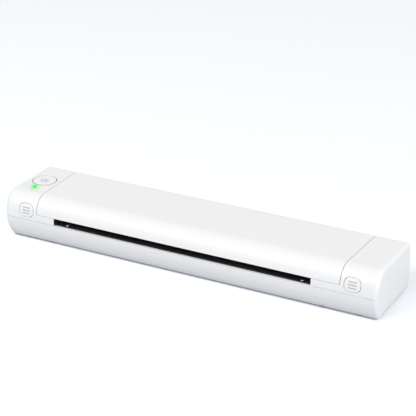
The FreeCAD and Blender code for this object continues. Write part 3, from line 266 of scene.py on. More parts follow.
def true_normals(mesh, node):
    """Takes the exact normals of the CAD piece's faces; the rounded edges blend between them."""
    source = frame["nodes"][node].data
    source.calc_loop_triangles()
    places = [vertex.co for vertex in source.vertices]
    triangles = source.loop_triangles
    tree = BVHTree.FromPolygons(places, [triangle.vertices for triangle in triangles])
    normals = [None] * len(mesh.loops)
    beside = {}
    for face in mesh.polygons:
        if face.material_index == 1:
            continue
        for corner in face.loop_indices:
            vertex = mesh.loops[corner].vertex_index
            spot = mesh.vertices[vertex].co
            found = tree.find_nearest_range(spot, near_reach)
            best = max(found, key=lambda hit: hit[1].dot(face.normal), default=None)
            normal = face.normal
            if best and best[1].dot(normal) > same_way:
                triangle = triangles[best[2]]
                shares = poly_3d_calc([places[i] for i in triangle.vertices], best[0])
                ends = [source.corner_normals[i].vector for i in triangle.loops]
                normal = sum((end * share for end, share in zip(ends, shares)), Vector())
                normal.normalize()
            normals[corner] = normal
            beside[vertex] = beside.get(vertex, Vector()) + normal
    for loop in mesh.loops:
        if normals[loop.index] is None:
            normals[loop.index] = beside.get(loop.vertex_index, mesh.vertices[loop.vertex_index].normal)
    mesh.normals_split_custom_set([normal.normalized() for normal in normals])


def remade(name, node, finish, edge):
    """A CAD piece made again with its edges rounded by edge, as a mould or a tumbler leaves them."""
    shape = merged(node)
    bmesh.ops.dissolve_limit(shape, angle_limit=flat_angle, verts=shape.verts, edges=shape.edges)
    mesh = bpy.data.meshes.new(name)
    shape.to_mesh(mesh)
    shape.free()
    mesh.polygons.foreach_set("use_smooth", [True] * len(mesh.polygons))
    mesh.polygons.foreach_set("material_index", [0] * len(mesh.polygons))
    mesh.materials.clear()
    piece = made(name, mesh, finish, finish)
    bevel = piece.modifiers.new("edge", "BEVEL")
    bevel.width = edge
    bevel.segments = 2
    bevel.limit_method = "ANGLE"
    bevel.angle_limit = edge_angle
    bevel.use_clamp_overlap = False
    bevel.material = 1
    settled(piece)
    true_normals(piece.data, node)
    piece.data.polygons.foreach_set("material_index", [0] * len(piece.data.polygons))
    piece.data.materials.pop()
    return put_for(piece, node)


shell_light = (0.865, 0.866, 0.868)
shell_dull = (0.835, 0.836, 0.838)


def glossy_white(name):
    fixed = {"IOR": 1.49, "Coat Weight": 0.15, "Coat Roughness": 0.08}
    return surface(
        name, dark=shell_dull, light=shell_light,
        patch=70 * mm, rough=(0.26, 0.33), grain=0.9 * mm, depth=0.003 * mm, fixed=fixed,
    )


shell_edge = 0.1 * mm
shell_white = glossy_white("glossy white shell")
remade("lower_shell", "bottom_case", shell_white, shell_edge)


# Rubber feet
# Four round feet of dark rubber, moulded and pressed into pockets in the bottom.
# They hold the case a millimetre above the table.
rubber = surface(
    "foot rubber", dark=(0.035, 0.035, 0.038), light=(0.06, 0.06, 0.063),
    patch=3 * mm, rough=(0.7, 0.85), grain=0.25 * mm, depth=0.02 * mm,
    fixed={"Specular IOR Level": 0.35},
)
remade("round_feet", "rubber_feet", rubber, edge=0.4 * mm)


# Battery and its lead
# A flat rechargeable pack in a shrunk plastic film, which lies in a cradle moulded on the floor.
# The film is tight along the sides and puckers at both ends. A red lead runs to the main board.
film = surface(
    "shrunk film", dark=(0.05, 0.12, 0.30), light=(0.07, 0.16, 0.36),
    patch=20 * mm, rough=(0.18, 0.3), grain=6 * mm, depth=0.05 * mm,
    fixed={"Coat Weight": 0.4, "Coat Roughness": 0.1},
)
battery_low, battery_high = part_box("battery_pack")
pucker_reach = 9 * mm
pucker_width = 1.1 * mm
pucker_height = 0.25 * mm
from_left = film.step(film.along(0), battery_low.x + pucker_reach, battery_low.x)
from_right = film.step(film.along(0), battery_high.x - pucker_reach, battery_high.x)
puckers = film.patches(pucker_width, 2.0, (6.0, 1.0, 1.0)) * (from_left + from_right)
film.raise_by(puckers + 0.2 * film.fine, pucker_height)
remade("wrapped_battery", "battery_pack", film, edge=0.3 * mm)
red_sleeve = surface(
    "red insulation", dark=(0.42, 0.03, 0.03), light=(0.55, 0.05, 0.04),
    patch=4 * mm, rough=(0.35, 0.5), grain=0.4 * mm, depth=0.01 * mm,
)
remade("battery_wire", "battery_lead", red_sleeve, edge=0.1 * mm)


# Side frames, platen and drive
# Two pressed steel plates, screwed to the floor, carry the bushes of the ground rubber platen.
# A small motor turns it through a double gear of natural acetal, at the right end.
steel = surface(
    "zinc plated steel", dark=(0.50, 0.51, 0.53), light=(0.68, 0.69, 0.71),
    patch=2.2 * mm, rough=(0.26, 0.42), grain=0.12 * mm, depth=0.004 * mm, fixed={"Metallic": 1.0},
)
acetal = surface(
    "natural acetal", dark=(0.76, 0.75, 0.69), light=(0.83, 0.82, 0.77),
    patch=5 * mm, rough=(0.36, 0.46), grain=0.3 * mm, depth=0.006 * mm,
)
ground_rubber = surface(
    "ground platen rubber", dark=(0.018, 0.018, 0.02), light=(0.045, 0.045, 0.047),
    patch=14 * mm, rough=(0.55, 0.75), grain=0.22 * mm, depth=0.02 * mm,
    fixed={"Specular IOR Level": 0.4}, stretch=(1.0, 12.0, 12.0),
)
for name, node, finish, edge in (
    ("left_frame_plate", "left_side_frame", steel, 0.12),
    ("right_frame_plate", "right_side_frame", steel, 0.12),
    ("platen_bearings", "platen_bushes", acetal, 0.1),
    ("platen_core", "platen_shaft", steel, 0.3),
    ("platen_sleeve", "platen_rubber", ground_rubber, 0.25),
    ("platen_wheel", "platen_gear", acetal, 0.06),
    ("double_wheel", "reduction_gear", acetal, 0.06),
    ("wheel_stud", "gear_stud", steel, 0.2),
    ("motor_wheel", "motor_pinion", acetal, 0.06),
    ("motor_spindle", "motor_shaft", steel, 0.15),
    ("motor_plate", "motor_bracket", steel, 0.12),
):
    remade(name, node, finish, edge=edge * mm)

motor_low, motor_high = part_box("motor")
can = surface(
    "motor can", dark=(0.56, 0.57, 0.58), light=(0.66, 0.67, 0.68),
    patch=8 * mm, rough=(0.24, 0.34), grain=0.1 * mm, depth=0.002 * mm, stretch=(10.0, 1.0, 1.0),
)
can_grey = (0.62, 0.63, 0.64, 1.0)
cap_black = (0.03, 0.03, 0.032, 1.0)
cap_start = motor_high.x - 2.2 * mm
rolled_start = cap_start - 0.5 * mm
rolled_full = cap_start - 0.25 * mm
rolled_height = 0.15 * mm
nylon_cap = can.step(can.along(0), cap_start - 0.02 * mm, cap_start)
can.give("Base Color", can.blend(nylon_cap, can_grey, cap_black))
can.give("Metallic", 1.0 - nylon_cap)
rolled_rim = can.step(can.along(0), rolled_start, rolled_full)
can.raise_by(rolled_rim - nylon_cap, rolled_height)
remade("drive_motor", "motor", can, edge=0.2 * mm)


class Growth(Works):
    """A tree that grows one shape on every point of a mesh; its sizes are named inputs."""

    def __init__(self, name, sizes, finishes):
        self.tree = bpy.data.node_groups.new(name, "GeometryNodeTree")
        kinds = {"Places": "NodeSocketGeometry"}
        kinds.update((size, "NodeSocketFloat") for size in sizes)
        kinds.update((finish, "NodeSocketMaterial") for finish in finishes)
        self.names = {}
        sockets = self.tree.interface
        for label, kind in kinds.items():
            socket = sockets.new_socket(label, in_out="INPUT", socket_type=kind)
            self.names[label] = socket.identifier
        sockets.new_socket("Shape", in_out="OUTPUT", socket_type="NodeSocketGeometry")
        self.entry = self.tree.nodes.new("NodeGroupInput")

    def input(self, label):
        return Amount(self, self.entry.outputs[label])

    def spot(self, x, y, z):
        return self.node("ShaderNodeCombineXYZ", {}, {0: x, 1: y, 2: z})

    def moved(self, shape, x, y, z):
        inputs = {"Geometry": shape, "Translation": self.spot(x, y, z)}
        return self.node("GeometryNodeTransform", {}, inputs)

    def bar(self, size_x, size_y, size_z, x, y, z):
        """A square bar with its middle at x, y and z."""
        cube = self.node("GeometryNodeMeshCube", {}, {"Size": self.spot(size_x, size_y, size_z)})
        return self.moved(cube, x, y, z)

    def rod(self, sides, radius, length):
        """A round bar, upright, with its middle at zero."""
        sizes = {"Vertices": sides, "Radius": radius, "Depth": length}
        return self.node("GeometryNodeMeshCylinder", {"fill_type": "NGON"}, sizes)

    def drawn_in(self, rod, end, length, share):
        """Pulls a round bar's Top or Bottom face out by length and makes it narrower."""
        face = Amount(self, rod.socket.node.outputs[end])
        grown_on = self.node(
            "GeometryNodeExtrudeMesh", {"mode": "FACES"},
            {"Mesh": rod, "Selection": face, "Offset Scale": length, "Individual": False},
        )
        top = Amount(self, grown_on.socket.node.outputs["Top"])
        inputs = {"Geometry": grown_on, "Selection": top, "Scale": share}
        return self.node("GeometryNodeScaleElements", {}, inputs)

    def coil(self, radius, wire, height, turns, low, steps, sides):
        """A round wire wound upwards from low."""
        inputs = {"Resolution": steps, "Rotations": turns, "Height": height}
        inputs.update({"Start Radius": radius, "End Radius": radius})
        spiral = self.node("GeometryNodeCurveSpiral", {}, inputs)
        around = {"Resolution": sides, "Radius": wire}
        ring = self.node("GeometryNodeCurvePrimitiveCircle", {}, around)
        line = self.moved(spiral, 0.0, 0.0, low)
        tube = {"Curve": line, "Profile Curve": ring, "Fill Caps": True}
        return self.node("GeometryNodeCurveToMesh", {}, tube)

    def join(self, *shapes):
        return self.node("GeometryNodeJoinGeometry", {}, {"Geometry": list(shapes)})

    def dress(self, shape, finish):
        inputs = {"Geometry": shape, "Material": self.input(finish)}
        return self.node("GeometryNodeSetMaterial", {}, inputs)

    def finish_tree(self, shape):
        """Sets the shape on each point, turned as the point says, and makes it all real mesh."""
        vectors = {"data_type": "FLOAT_VECTOR"}
        turn = self.node("GeometryNodeInputNamedAttribute", vectors, {"Name": "turn"})
        inputs = {"Points": self.input("Places"), "Instance": shape, "Rotation": turn}
        stand = self.node("GeometryNodeInstanceOnPoints", {}, inputs)
        real = self.node("GeometryNodeRealizeInstances", {}, {"Geometry": stand})
        leave = self.tree.nodes.new("NodeGroupOutput")
        self.tree.links.new(real.socket, leave.inputs["Shape"])

    def grow(self, name, places, sizes, finishes):
        """A new piece with the shape on each place; a place is a point and how it is turned."""
        mesh = bpy.data.meshes.new(name)
        mesh.from_pydata([point for point, turn in places], [], [])
        turns = mesh.attributes.new("turn", "FLOAT_VECTOR", "POINT")
        for i, (point, turn) in enumerate(places):
            turns.data[i].vector = turn
        piece = made(name, mesh)
        growth = piece.modifiers.new("growth", "NODES")
        growth.node_group = self.tree
        for label, value in sizes.items():
            growth[self.names[label]] = value
        for label, finish in finishes.items():
            growth[self.names[label]] = finish.material
        return settled(piece)


def solids_of(node):
    """The lowest and highest corner of each separate solid of a CAD piece."""
    shape = merged(node)
    left = set(shape.verts)
    boxes = []
    while left:
        reach = [left.pop()]
        solid = []
        while reach:
            vert = reach.pop()
            solid.append(vert.co.copy())
            for edge in vert.link_edges:
                other = edge.other_vert(vert)
                if other in left:
                    left.remove(other)
                    reach.append(other)
        low = Vector(min(c[i] for c in solid) for i in range(3))
        high = Vector(max(c[i] for c in solid) for i in range(3))
        boxes.append((low, high))
    shape.free()
    return sorted(boxes, key=lambda box: tuple(round(v, 5) for v in box[0]))


screw_sizes = ["Head Radius", "Head Height", "Shank Radius", "Length", "Pitch"]
screws = Growth("screw", screw_sizes, ["Metal"])
head_radius = screws.input("Head Radius")
head_height = screws.input("Head Height")
shank_radius = screws.input("Shank Radius")
length = screws.input("Length")
rim = 0.6 * head_height
dome = 0.4 * head_height
head = screws.rod(sides=20, radius=head_radius, length=rim)
head = screws.drawn_in(head, "Top", length=dome, share=0.78)
head = screws.moved(head, 0.0, 0.0, -1.0 * dome - 0.5 * rim)
slot_length = 1.15 * head_radius
slot_width = 0.26 * head_radius
slot_height = 1.1 * head_height
slots_cut = [
    screws.bar(slot_length, slot_width, slot_height, 0.0, 0.0, 0.0),
    screws.bar(slot_width, slot_length, slot_height, 0.0, 0.0, 0.0),
]
cut = {"operation": "DIFFERENCE", "solver": "MANIFOLD"}
head = screws.node("GeometryNodeMeshBoolean", cut, {"Mesh 1": head, "Mesh 2": slots_cut})
tip = 1.2 * shank_radius
into_head = 0.1 * mm
core = screws.rod(sides=10, radius=0.78 * shank_radius, length=length - tip)
core = screws.drawn_in(core, "Bottom", length=tip, share=0.35)
core = screws.moved(core, 0.0, 0.0, -1.0 * head_height - 0.5 * (length - tip) + into_head)
thread_height = length - 2.2 * tip
thread_turns = thread_height / screws.input("Pitch")
thread_low = -1.0 * head_height - length + 1.4 * tip
thread = screws.coil(
    0.8 * shank_radius, 0.2 * shank_radius, thread_height, thread_turns, thread_low,
    steps=12, sides=4,
)
screws.finish_tree(screws.dress(screws.join(head, core, thread), "Metal"))

screw_turns = random.Random(11)
screw_head_height = 1.3 * mm
screw_shank_radius = 1.1 * mm
screw_pitch = 0.8 * mm


def screwed(name, node, upwards=False):
    """Cross-head screws in place of a node's plain ones; each stopped where it was tight."""
    places = []
    boxes = solids_of(node)
    for low, high in boxes:
        z = low.z if upwards else high.z
        middle = (low + high) / 2
        turn = screw_turns.uniform(0.0, math.pi)
        tilt = math.pi if upwards else 0.0
        places.append((Vector((middle.x, middle.y, z)), (tilt, 0.0, turn)))
    low, high = boxes[0]
    sizes = {
        "Head Radius": (high.x - low.x) / 2,
        "Head Height": screw_head_height,
        "Shank Radius": screw_shank_radius,
        "Length": high.z - low.z - screw_head_height,
        "Pitch": screw_pitch,
    }
    return put_for(screws.grow(name, places, sizes, {"Metal": steel}), node)


screwed("frame_fixings", "frame_screws")
black_sleeve = surface(
    "black insulation", dark=(0.02, 0.02, 0.022), light=(0.035, 0.035, 0.037),
    patch=4 * mm, rough=(0.35, 0.5), grain=0.4 * mm, depth=0.01 * mm,
)
remade("motor_wire", "motor_lead", black_sleeve, edge=0.1 * mm)

tabs = Growth("solder tab", ["Width", "Thickness", "Reach"], ["Metal"])
width = tabs.input("Width")
thickness = tabs.input("Thickness")
reach = tabs.input("Reach")
tabs.finish_tree(tabs.dress(tabs.join(
    tabs.bar(reach, thickness, width, 0.5 * reach, 0.0, 0.0),
    tabs.bar(thickness, 2.0 * thickness, 1.5 * width, 0.6 * reach, 0.0, 0.0),
), "Metal"))
motor_middle = (motor_low + motor_high) / 2
tab_off = 4.2 * mm
tab_places = [
    ((motor_high.x, motor_middle.y + side * tab_off, motor_middle.z), (0.0, 0.0, 0.0))
    for side in (-1, 1)
]
tab_sizes = {"Width": 1.6 * mm, "Thickness": 0.3 * mm, "Reach": 2.2 * mm}
brass = surface(
    "tinned brass", dark=(0.62, 0.55, 0.36), light=(0.72, 0.66, 0.48),
    patch=1 * mm, rough=(0.25, 0.4), grain=0.1 * mm, depth=0.003 * mm, fixed={"Metallic": 1.0},
)
put(tabs.grow("motor_tabs", tab_places, tab_sizes, {"Metal": brass}))


# Main board
# A green circuit board on four posts at the left, with its chips, capacitors and lead sockets.
# The charging socket stands at its outer edge, behind the opening in the end.
def wave_scale(pitch):
    """The wave texture's own scale for bands of one pitch."""
    return 2 * math.pi / (20 * pitch)


def board_finish(name):
    """Green lacquer over copper: raised traces that run one way in each zone, and bare round pads."""
    trace_pitch = 1.1 * mm
    zone_size = 7 * mm
    pad_spacing = 3.1 * mm
    copper_height = 0.035 * mm
    lacquer = (0.014, 0.115, 0.05, 1.0)
    lacquered_copper = (0.05, 0.27, 0.10, 1.0)
    bare_pad = (0.55, 0.52, 0.38, 1.0)
    fixed = {"Coat Weight": 0.35, "Coat Roughness": 0.15}
    mask = surface(
        name, dark=(0.012, 0.10, 0.045), light=(0.018, 0.13, 0.06),
        patch=12 * mm, rough=(0.3, 0.4), grain=0.3 * mm, depth=0.004 * mm, fixed=fixed,
    )
    inputs = {"Vector": mask.place, "Scale": 1 / zone_size}
    zones = mask.node("ShaderNodeTexVoronoi", {"distance": "CHEBYCHEV"}, inputs, "Color")
    pick = mask.step(mask.node("ShaderNodeSeparateColor", {}, {"Color": zones}, 0), 0.48, 0.52)
    lines = []
    for direction in ("X", "Y"):
        inputs = {"Vector": mask.place, "Scale": wave_scale(trace_pitch)}
        wave = mask.node("ShaderNodeTexWave", {"bands_direction": direction}, inputs, "Fac")
        lines.append(mask.step(wave, 0.72, 0.86))
    traces = lines[0] * pick + lines[1] * (1.0 - pick)
    inputs = {"Vector": mask.place, "Scale": 1 / pad_spacing}
    pads = mask.step(mask.node("ShaderNodeTexVoronoi", {}, inputs, "Distance"), 0.13, 0.09)
    green = mask.blend(0.55 * traces, lacquer, lacquered_copper)
    mask.give("Base Color", mask.blend(pads, green, bare_pad))
    mask.raise_by(traces + pads, copper_height)
    return mask


mask_green = board_finish("solder mask")
remade("circuit_board", "main_board", mask_green, edge=0.1 * mm)
screwed("board_fixings", "board_screws")

epoxy = surface(
    "moulded epoxy", dark=(0.022, 0.022, 0.024), light=(0.04, 0.04, 0.042),
    patch=2.5 * mm, rough=(0.45, 0.6), grain=0.12 * mm, depth=0.006 * mm,
)
remade("chip_bodies", "board_chips", epoxy, edge=0.12 * mm)
legs = Growth("chip leg", ["Reach", "Width", "Thickness", "Height"], ["Metal"])
reach = legs.input("Reach")
width = legs.input("Width")
thickness = legs.input("Thickness")
height = legs.input("Height")
legs.finish_tree(legs.dress(legs.join(
    legs.bar(0.5 * reach, width, thickness, 0.25 * reach, 0.0, height),
    legs.bar(thickness, width, height, 0.5 * reach, 0.0, 0.5 * height),
    legs.bar(0.5 * reach, width, thickness, 0.75 * reach, 0.0, 0.5 * thickness),
), "Metal"))
leg_pitch = 0.8 * mm
bare_corner = 0.6 * mm
four_sided_from = 7 * mm
leg_places = []
for low, high in solids_of("board_chips"):
    across = high.x - low.x
    middle = (low + high) / 2
    count = int((across - 2 * bare_corner) / leg_pitch)
    for i in range(count + 1):
        shift = (i - count / 2) * leg_pitch
        leg_places.append(((high.x, middle.y + shift, low.z), (0.0, 0.0, 0.0)))
        leg_places.append(((low.x, middle.y + shift, low.z), (0.0, 0.0, math.pi)))
        if across > four_sided_from:
            leg_places.append(((middle.x + shift, high.y, low.z), (0.0, 0.0, math.pi / 2)))
            leg_places.append(((middle.x + shift, low.y, low.z), (0.0, 0.0, -math.pi / 2)))
leg_sizes = {
    "Reach": 0.9 * mm, "Width": 0.32 * mm, "Thickness": 0.14 * mm, "Height": 0.55 * mm,
}
tin = surface(
    "tinned lead frame", dark=(0.66, 0.66, 0.65), light=(0.78, 0.78, 0.77),
    patch=0.8 * mm, rough=(0.28, 0.42), grain=0.1 * mm, depth=0.003 * mm, fixed={"Metallic": 1.0},
)
put(legs.grow("chip_legs", leg_places, leg_sizes, {"Metal": tin}))


def turned(name, profile, places, finish, sides=36):
    """Round pieces turned from a profile of radius and height, one at each place."""
    shape = bmesh.new()
    for place in places:
        rings = []
        for radius, height in profile:
            count = 1 if radius == 0 else sides
            ring = []
            for i in range(count):
                angle = 2 * math.pi * i / sides
                point = (radius * math.cos(angle), radius * math.sin(angle), height)
                ring.append(shape.verts.new(place + Vector(point)))
            rings.append(ring)
        for lower, upper in zip(rings, rings[1:]):
            for i in range(sides):
                j = (i + 1) % sides
                corners = [lower[i % len(lower)], lower[j % len(lower)]]
                corners += [upper[j % len(upper)], upper[i % len(upper)]]
                shape.faces.new(list(dict.fromkeys(corners)))
    bmesh.ops.recalc_face_normals(shape, faces=shape.faces)
    mesh = bpy.data.meshes.new(name)
    shape.to_mesh(mesh)
    shape.free()
    mesh.shade_smooth()
    mesh.set_sharp_from_angle(angle=edge_angle)
    return made(name, mesh, finish)


sleeve = surface(
    "capacitor sleeve", dark=(0.02, 0.025, 0.05), light=(0.03, 0.035, 0.07),
    patch=3 * mm, rough=(0.25, 0.35), grain=0.3 * mm, depth=0.005 * mm,
)
capacitors = solids_of("board_capacitors")
low, high = capacitors[0]
tall = high.z - low.z
wide = (high.x - low.x) / 2
rim_z = low.z + tall - 0.25 * mm
bare_top = sleeve.step(sleeve.along(2), rim_z - 0.05 * mm, rim_z)
vent_reach = 1.9 * mm
vent_half_width = 0.16 * mm
vent_depth = 0.12 * mm
vent = 0.0
for low_corner, high_corner in capacitors:
    centre = (low_corner + high_corner) / 2
    off_centre = sleeve.from_line(0, centre.x, 1, centre.y)
    disc = sleeve.step(off_centre, vent_reach, vent_reach - 0.2 * mm)
    for axis in (0, 1):
        off = sleeve.along(axis) - centre[axis]
        vent = vent + sleeve.step(off * off, vent_half_width ** 2, 0.0) * disc
sleeve_blue = (0.025, 0.03, 0.06, 1.0)
can_bare = (0.72, 0.72, 0.73, 1.0)
sleeve.give("Metallic", bare_top)
sleeve.give("Base Color", sleeve.blend(bare_top, sleeve_blue, can_bare))
sleeve.raise_by(bare_top * vent, -vent_depth)
profile = [
    (0.0, 0.0), (0.9 * wide, 0.0), (wide, 0.1 * tall), (wide, 0.16 * tall),
    (0.93 * wide, 0.2 * tall), (0.93 * wide, 0.23 * tall), (wide, 0.27 * tall), (wide, 0.95 * tall),
    (0.94 * wide, tall), (0.84 * wide, tall), (0.8 * wide, 0.97 * tall), (0.0, 0.97 * tall),
]
feet = [Vector(((a.x + b.x) / 2, (a.y + b.y) / 2, a.z)) for a, b in capacitors]
put_for(turned("storage_capacitors", profile, feet, sleeve), "board_capacitors")

nylon = surface(
    "natural nylon", dark=(0.72, 0.69, 0.60), light=(0.80, 0.77, 0.68),
    patch=4 * mm, rough=(0.4, 0.5), grain=0.2 * mm, depth=0.005 * mm,
)
remade("lead_sockets", "board_connectors", nylon, edge=0.3 * mm)
socket_steel = surface(
    "drawn socket steel", dark=(0.60, 0.60, 0.61), light=(0.74, 0.74, 0.75),
    patch=3 * mm, rough=(0.18, 0.28), grain=0.1 * mm, depth=0.002 * mm, fixed={"Metallic": 1.0},
    stretch=(6.0, 1.0, 1.0),
)
remade("charging_port", "usb_socket", socket_steel, edge=0.06 * mm)

chiplets = Growth("chip resistor", ["Length", "Width", "Height", "End"], ["Body", "Ends"])
length = chiplets.input("Length")
width = chiplets.input("Width")
height = chiplets.input("Height")
end = chiplets.input("End")
end_width = 1.04 * width
end_height = 1.06 * height
body = chiplets.bar(length - 2.0 * end, width, height, 0.0, 0.0, 0.5 * height)
ends = chiplets.join(
    chiplets.bar(end, end_width, end_height, 0.5 * length - 0.5 * end, 0.0, 0.5 * end_height),
    chiplets.bar(end, end_width, end_height, 0.5 * end - 0.5 * length, 0.0, 0.5 * end_height),
)
chiplets.finish_tree(chiplets.join(chiplets.dress(body, "Body"), chiplets.dress(ends, "Ends")))


def scattered(name, node, gap, step, share, seed, keep_off):
    """Small parts in rows on a board, away from its edges and from what already stands there."""
    draw = random.Random(seed)
    low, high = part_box(node)
    taken = [box for other in keep_off for box in solids_of(other)]
    room = 1.9 * mm
    places = []
    x = low.x + gap
    while x < high.x - gap:
        y = low.y + gap
        while y < high.y - gap:
            clear = all(
                x < a.x - room or x > b.x + room or y < a.y - room or y > b.y + room
                for a, b in taken
            )
            chance = draw.random()
            turn = draw.choice((0.0, math.pi / 2))
            if clear and chance < share:
                places.append(((x, y, high.z), (0.0, 0.0, turn)))
            y += step
        x += step
    sizes = {"Length": 1.6 * mm, "Width": 0.8 * mm, "Height": 0.45 * mm, "End": 0.3 * mm}
    return put(chiplets.grow(name, places, sizes, {"Body": epoxy, "Ends": tin}))


tall_parts = ["board_chips", "board_capacitors", "board_connectors", "usb_socket"]
tall_parts += ["board_screws", "case_screws"]
scattered(
    "board_small_parts", "main_board", gap=2.4 * mm, step=2.3 * mm, share=0.42, seed=5,
    keep_off=tall_parts,
)


# Ribbed deck and its sensor
# The floor of the feed channel, moulded in black with a spark-eroded grain and a window for the
# platen. It is screwed down on the floor's posts, and a small two-eyed sensor is clipped into it.
deck_black = surface(
    "eroded black plastic", dark=(0.016, 0.016, 0.018), light=(0.024, 0.024, 0.026),
    patch=30 * mm, rough=(0.45, 0.58), grain=0.35 * mm, depth=0.012 * mm,
)
remade("ribbed_deck", "paper_deck", deck_black, edge=0.15 * mm)
screwed("deck_fixings", "deck_screws")
remade("sensor_housing", "paper_sensor", epoxy, edge=0.1 * mm)
lens_glass = surface(
    "sensor lens", dark=(0.12, 0.01, 0.02), light=(0.18, 0.02, 0.03),
    patch=1 * mm, rough=(0.05, 0.1), grain=0.5 * mm, depth=0.001 * mm,
    fixed={"Coat Weight": 1.0, "Coat Roughness": 0.03},
)
sensor_low, sensor_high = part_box("paper_sensor")
sensor_middle = (sensor_low + sensor_high) / 2
lens_radius = 0.7 * mm
lens_wall = 0.25 * mm
lens_dome = 0.45 * mm
lens_off = 1.75 * mm
lens_foot = sensor_high.z - 0.8 * mm
lens_profile = [(0.0, 0.0), (lens_radius, 0.0), (lens_radius, lens_wall)]
lens_profile += [
    (lens_radius * math.cos(a), lens_wall + lens_dome * math.sin(a)) for a in (0.4, 0.8, 1.2)
]
lens_profile.append((0.0, lens_wall + lens_dome))
lens_places = [
    Vector((sensor_middle.x + side * lens_off, sensor_middle.y, lens_foot)) for side in (-1, 1)
]
put(turned("sensor_lenses", lens_profile, lens_places, lens_glass, sides=20))


# End housings and buttons
# The two upper ends of the case, moulded in glossy white, each with a push button that a wound
# steel spring pushes out. The left one also holds the power button and its small green light.
light_low, light_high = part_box("light_pipe")
light_x = (light_low.x + light_high.x) / 2
light_y = (light_low.y + light_high.y) / 2
# A painted glow: the shell's top face round the light takes a green tint and a green emission, strongest
# by the light pipe and gone 6.5 mm away.
painted_glow_white = glossy_white("glossy white shell by the light")
glow_reach = 6.5 * mm
glow_strength = 1.4
glow_lean = (0.88, 0.48)
drawn_out = 0.25
across = painted_glow_white.along(0) - light_x
along = painted_glow_white.along(1) - light_y
aside = glow_lean[0] * across + glow_lean[1] * along
forward = glow_lean[1] * across - glow_lean[0] * along
away = (aside * aside + drawn_out * forward * forward) ** 0.5
inputs = {"Value": away, "From Min": glow_reach, "From Max": 0.0}
near = painted_glow_white.node("ShaderNodeMapRange", {}, inputs)
top_only = painted_glow_white.step(painted_glow_white.along(2), light_high.z - 1.0 * mm, light_high.z - 0.3 * mm)
glow = near * near * glow_strength * top_only
painted_glow_green = (0.03, 0.62, 0.05, 1.0)
unlit = (0.0, 0.0, 0.0, 1.0)
painted_glow_shine = (0.01, 0.25, 0.02, 1.0)
painted_glow_white.give("Base Color", painted_glow_white.blend(glow, painted_glow_white.colour, painted_glow_green))
painted_glow_white.give("Emission Color", painted_glow_white.blend(glow, unlit, painted_glow_shine))
painted_glow_white.skin.inputs["Emission Strength"].default_value = 1.0
remade("left_upper_shell", "left_end_housing", painted_glow_white, shell_edge)
remade("right_upper_shell", "right_end_housing", shell_white, shell_edge)

slip_outline = [
    (-31.4, 18.95), (-14.0, 18.95), (-12.8, 20.0), (-12.8, 23.4), (-14.0, 24.5), (-31.2, 24.5)
]
slip_glue = 0.04 * mm
slip_face = 0.3 * mm
panel_margin = 0.5 * mm
panel_depth = 0.08 * mm


def slip(name, wall_x, inward):
    """A thin black slip on an end wall of the slot, with a shallow panel pressed into its face."""
    shape = bmesh.new()
    rings = []
    for depth in (slip_glue, slip_face):
        x = wall_x + inward * depth
        rings.append([shape.verts.new((x, y * mm, z * mm)) for y, z in slip_outline])
    shape.faces.new(rings[0])
    face = shape.faces.new(rings[1])
    for i in range(len(slip_outline)):
        shape.faces.new((rings[0][i - 1], rings[0][i], rings[1][i], rings[1][i - 1]))
    bmesh.ops.recalc_face_normals(shape, faces=shape.faces)
    bmesh.ops.inset_individual(shape, faces=[face], thickness=panel_margin, depth=-panel_depth)
    mesh = bpy.data.meshes.new(name)
    shape.to_mesh(mesh)
    shape.free()
    return put(made(name, mesh, deck_black))


slip("left_slot_slip", wall_x=-112.3 * mm, inward=1)
slip("right_slot_slip", wall_x=106.3 * mm, inward=-1)

remade("button_circuit_board", "button_board", mask_green, edge=0.08 * mm)
switch_black = surface(
    "switch body", dark=(0.02, 0.02, 0.022), light=(0.04, 0.04, 0.042),
    patch=2 * mm, rough=(0.4, 0.55), grain=0.2 * mm, depth=0.004 * mm,
)
switch_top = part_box("power_switch")[1].z
switch_up = switch_black.along(2)
plate_low = switch_top - 1.2 * mm
plate_top = switch_top - 0.7 * mm
blur = 0.05 * mm
above = switch_black.step(switch_up, plate_low, plate_low + blur)
below = switch_black.step(switch_up, plate_top, plate_top - blur)
plate = above * below
body_black = (0.03, 0.03, 0.032, 1.0)
plate_steel = (0.7, 0.7, 0.71, 1.0)
switch_black.give("Base Color", switch_black.blend(plate, body_black, plate_steel))
switch_black.give("Metallic", plate)
remade("tactile_switch", "power_switch", switch_black, edge=0.1 * mm)

lamp_green = surface(
    "lit green", dark=(0.02, 0.40, 0.03), light=(0.03, 0.50, 0.05),
    patch=1 * mm, rough=(0.2, 0.3), grain=0.3 * mm, depth=0.001 * mm,
    fixed={"Emission Strength": 0.5},
)
lamp_reach = 1.1 * mm
lamp_rim = (0.01, 0.22, 0.02, 1.0)
lamp_core = (0.03, 0.42, 0.05, 1.0)
core = lamp_green.step(lamp_green.from_line(0, light_x, 1, light_y), lamp_reach, 0.0)
lamp_green.give("Emission Color", lamp_green.blend(core, lamp_rim, lamp_core))
remade("green_lamp", "status_led", lamp_green, edge=0.1 * mm)
remade("green_light_window", "light_pipe", lamp_green, edge=0.12 * mm)

cap_white = glossy_white("glossy white power button")
cap_low, cap_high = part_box("power_button")
cap_x = (cap_low.x + cap_high.x) / 2
cap_y = (cap_low.y + cap_high.y) / 2
mark_reach = 3.4 * mm
mark_grey = (0.48, 0.485, 0.495, 1.0)
gap_shade_grey = (0.28, 0.285, 0.295, 1.0)
from_middle = cap_white.from_line(0, cap_x, 1, cap_y)
